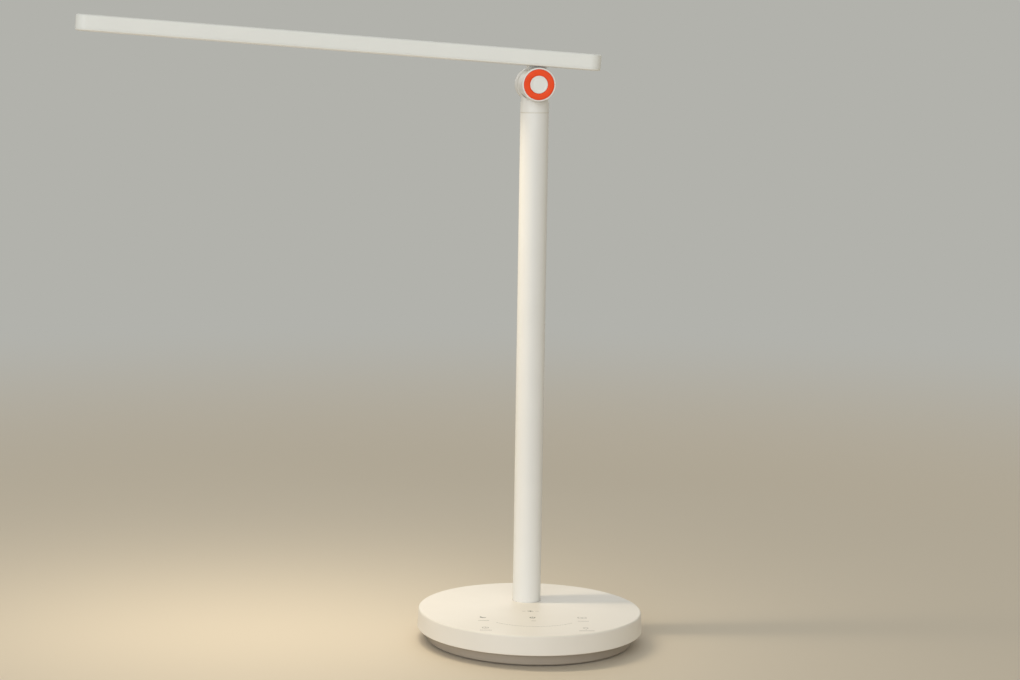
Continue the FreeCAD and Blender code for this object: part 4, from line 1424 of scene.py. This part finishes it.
@dataclass
class Studio:
    """Plain pale floor, soft light and the photograph's viewpoint.

    Attributes:
        backdrop: colour of what is behind the lamp.
        paper: colour of the floor, which turns into the backdrop's far from the lamp.
        air: colour of the even light from all round.
        ambient: its strength.
        soft_lights: the broad lights.
        lamp_watts: power of the light that the lamp throws.
        lamp_tint: its colour.
        lamp_spread: degrees of its beam.
        lamp_strip: share of the light window's width that most of it comes from.
        lamp_gap: how far in front of the window it is, in millimetres.
        floor_radius: radius of the floor in metres.
        floor_gap: how far the floor is under the lamp, in metres, so that they share no plane.
        fade_start: distance at which the floor starts to turn into the backdrop.
        fade_end: distance at which it has turned into it.
        azimuth: camera round the base's centre in degrees.
        distance: camera to the base's axis in metres.
        height: camera over the floor in metres.
        pitch: degrees down.
        yaw: degrees to the left of the base's axis.
        roll: degrees that the picture is turned clockwise.
        picture_px: width of the picture in pixels.
        focal_px: focal length in pixels of that picture.
        shift: how far the lens is moved across, in picture widths, as in a part of a wider picture.
        film_mm: width of the film in millimetres.
        clip: nearest and farthest distance that is drawn, in metres.
    """

    backdrop: str = "#B2B2AC"
    paper: str = "#DFD5C6"
    air: str = "#FAF5E2"
    ambient: float = 0.4
    soft_lights: tuple[SoftLight, ...] = (
        SoftLight("front", (-0.31, -0.95, 0.07), 0.67, 65.0, "#F4FAFF"),
        SoftLight("back fill", (0.1, 0.9, 0.42), 0.21, 60.0, "#FBFCFF"),
    )
    lamp_watts: float = 0.60
    lamp_tint: str = "#FFEECF"
    lamp_spread: float = 125.0
    lamp_strip: float = 0.55
    lamp_gap: float = 3.0
    floor_radius: float = 8.0
    floor_gap: float = 0.0003
    fade_start: float = 0.7
    fade_end: float = 2.2
    azimuth: float = -4.8269
    distance: float = 1.7781
    height: float = 0.4638
    pitch: float = 7.1246
    yaw: float = 5.2168
    roll: float = 0.3142
    picture_px: float = 1020.0
    focal_px: float = 2250.0
    shift: float = 0.1765
    film_mm: float = 36.0
    clip: Pair = (0.05, 50.0)

    def seen(self, tree: Tree) -> Socket:
        """Whether a ray shows the background: from the camera, in a reflection or through glass.

        Args:
            tree: the tree of the floor or of the world.

        Returns:
            Socket that is 1 for such a ray and 0 for others.
        """
        path = add_node(tree, "ShaderNodeLightPath")
        seen = path["Is Glossy Ray"]
        for kind in ("Is Transmission Ray", "Is Camera Ray"):
            seen = add_node(tree, NODE_MATH, (seen, path[kind]), operation="MAXIMUM")[0]
        return seen

    def paper_sweep(self) -> bpy.types.Material:
        """Pale paper that turns into the backdrop far out and lets a view from below through.

        Returns:
            The material.
        """
        material = bpy.data.materials.new("pale paper sweep")
        material.use_nodes = True
        tree = material.node_tree
        tree.nodes.clear()
        where = add_node(tree, "ShaderNodeTexCoord")["Object"]
        # Uncoated paper: dull and even, with a faint fibre of about 2.5 mm.
        fibre = add_node(tree, "ShaderNodeTexNoise", {"Vector": where, "Scale": 400.0, "Detail": 3.0})[0]
        tooth = {"Strength": 1.0, "Distance": 0.02 * MM, "Height": fibre}
        paper = add_node(tree, "ShaderNodeBsdfPrincipled", {
            "Base Color": linear(self.paper),
            "Roughness": 0.9,
            "Normal": add_node(tree, "ShaderNodeBump", tooth)[0],
            "Specular IOR Level": 0.2,
        })[0]
        behind = add_node(tree, "ShaderNodeEmission", {"Color": linear(self.backdrop), "Strength": 1.0})[0]
        fade = add_node(tree, "ShaderNodeMapRange", {
            "Value": add_node(tree, "ShaderNodeVectorMath", (where,), operation="LENGTH")["Value"],
            "From Min": self.fade_start,
            "From Max": self.fade_end,
        }, interpolation_type="SMOOTHSTEP")[0]
        share = add_node(tree, NODE_MATH, (fade, self.seen(tree)), operation="MULTIPLY")[0]
        faded = add_node(tree, "ShaderNodeMixShader", (share, paper, behind))[0]
        under = add_node(tree, "ShaderNodeNewGeometry")["Backfacing"]
        clear = add_node(tree, "ShaderNodeBsdfTransparent")[0]
        both = add_node(tree, "ShaderNodeMixShader", (under, faded, clear))[0]
        add_node(tree, "ShaderNodeOutputMaterial", {"Surface": both})
        return material

    def floor(self) -> None:
        """Round floor that fades into the backdrop."""
        work = bmesh.new()
        bmesh.ops.create_circle(work, cap_ends=True, segments=128, radius=self.floor_radius)
        bmesh.ops.translate(work, verts=work.verts, vec=(0.0, 0.0, -self.floor_gap))
        mesh = bpy.data.meshes.new("floor")
        work.to_mesh(mesh)
        work.free()
        mesh.materials.append(self.paper_sweep())
        add_object("floor", mesh)

    def world(self) -> None:
        """Even light from all round, and the backdrop's colour where it is seen."""
        world = bpy.data.worlds.new("studio")
        world.use_nodes = True
        tree = world.node_tree
        tree.nodes.clear()
        light, shown = (
            add_node(tree, "ShaderNodeBackground", {"Color": linear(colour), "Strength": strength})[0]
            for colour, strength in ((self.air, self.ambient), (self.backdrop, 1.0))
        )
        mixed = add_node(tree, "ShaderNodeMixShader", (self.seen(tree), light, shown))[0]
        add_node(tree, "ShaderNodeOutputWorld", {"Surface": mixed})
        bpy.context.scene.world = world

    def add_light(self, name: str, kind: str, watts: float, tint: str, pose: Matrix) -> Piece:
        """Add one light that the camera doesn't see.

        Args:
            name: its name.
            kind: Blender's kind of light.
            watts: its power, or its strength where it is a sun.
            tint: sRGB colour.
            pose: its place and turn; it shines along -Z.

        Returns:
            The light.
        """
        data = bpy.data.lights.new(name, kind)
        data.energy = watts
        data.color = linear(tint)[:3]
        light = add_object(name, data)
        light.matrix_world = pose
        light.visible_camera = False
        return light

    def lights(self, head: Head) -> None:
        """Broad soft studio lights, and the light that the lamp itself throws, which rides on the head.

        Args:
            head: the light bar.
        """
        for soft in self.soft_lights:
            pose = Vector(soft.source).to_track_quat("Z", "Y").to_matrix().to_4x4()
            light = self.add_light(soft.name, "SUN", soft.strength * math.pi, soft.tint, pose)
            light.data.angle = math.radians(soft.breadth)
        low, high = box_in("diffuser", head.place)
        below = Matrix.Translation(((low.x + high.x) / 2 * MM, 0.0, (low.z - self.lamp_gap) * MM))
        own = self.add_light("lamp light", "AREA", self.lamp_watts, self.lamp_tint, head.place @ below)
        own.data.shape = "RECTANGLE"
        own.data.size = (high.x - low.x) * MM
        own.data.size_y = (high.y - low.y) * MM * self.lamp_strip
        own.data.spread = math.radians(self.lamp_spread)
        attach(own, Body.HEAD.value)

    def camera(self) -> None:
        """Camera at the photograph's viewpoint."""
        around = math.radians(self.azimuth)
        spot = Vector((math.sin(around) * self.distance, -math.cos(around) * self.distance, self.height))
        pose = Matrix.Translation(spot)
        for angle, axis in ((self.azimuth + self.yaw, "Z"), (90.0 - self.pitch, "X"), (self.roll, "Z")):
            pose = pose @ Matrix.Rotation(math.radians(angle), 4, axis)
        data = bpy.data.cameras.new("camera")
        data.sensor_width = self.film_mm
        data.lens = self.film_mm * self.focal_px / self.picture_px
        data.shift_x = self.shift
        data.clip_start, data.clip_end = self.clip
        camera = add_object("camera", data)
        camera.matrix_world = pose
        bpy.context.scene.camera = camera

    def build(self, head: Head) -> None:
        """Set up the whole studio.

        Args:
            head: the light bar, whose own light shines on the base.
        """
        self.floor()
        self.world()
        self.lights(head)
        self.camera()
        bpy.context.scene.view_settings.view_transform = "Standard"
        log.info("studio is set")


def hinge_frame() -> tuple[Matrix, Matrix, Triple]:
    """Frames of the neck and of the head as they are stored, read from the joints and the light board.

    Returns:
        Frame of the neck, frame of the head, and the head's turn about X, Y and Z.
    """
    joint = next(item for item in frame["joints"] if item["name"] == "head_tilt")
    axis = Vector(joint["axis"])
    swivel = math.atan2(-axis.x, axis.y)
    neck = Matrix.Translation(Vector(joint["pos_m"])) @ Matrix.Rotation(swivel, 4, "Z")
    work = local_copy("led_board", neck)
    spots = np.array([vert.co[:] for vert in work.verts])
    work.free()
    long_edge = spots[spots[:, 2].argmin()] - spots[spots[:, 0].argmin()]
    tilt = math.atan2(-long_edge[2], long_edge[0])
    return neck, neck @ Matrix.Rotation(tilt, 4, "Y"), (0.0, tilt, swivel)


def main() -> None:
    """Build the lamp piece by piece, then the studio."""
    logging.basicConfig(level=logging.INFO, format="%(message)s")
    neck_place, head_place, head_turn = hinge_frame()
    log.info("swivel %.3f, tilt %.3f degrees", math.degrees(head_turn[2]), math.degrees(head_turn[1]))
    Base(place=Matrix.Identity(4), hinge=neck_place.translation).build()
    Neck(place=neck_place).build()
    head = Head(place=head_place, turn=head_turn)
    head.build()
    Studio().build(head)


if __name__ == "__main__":
    main()
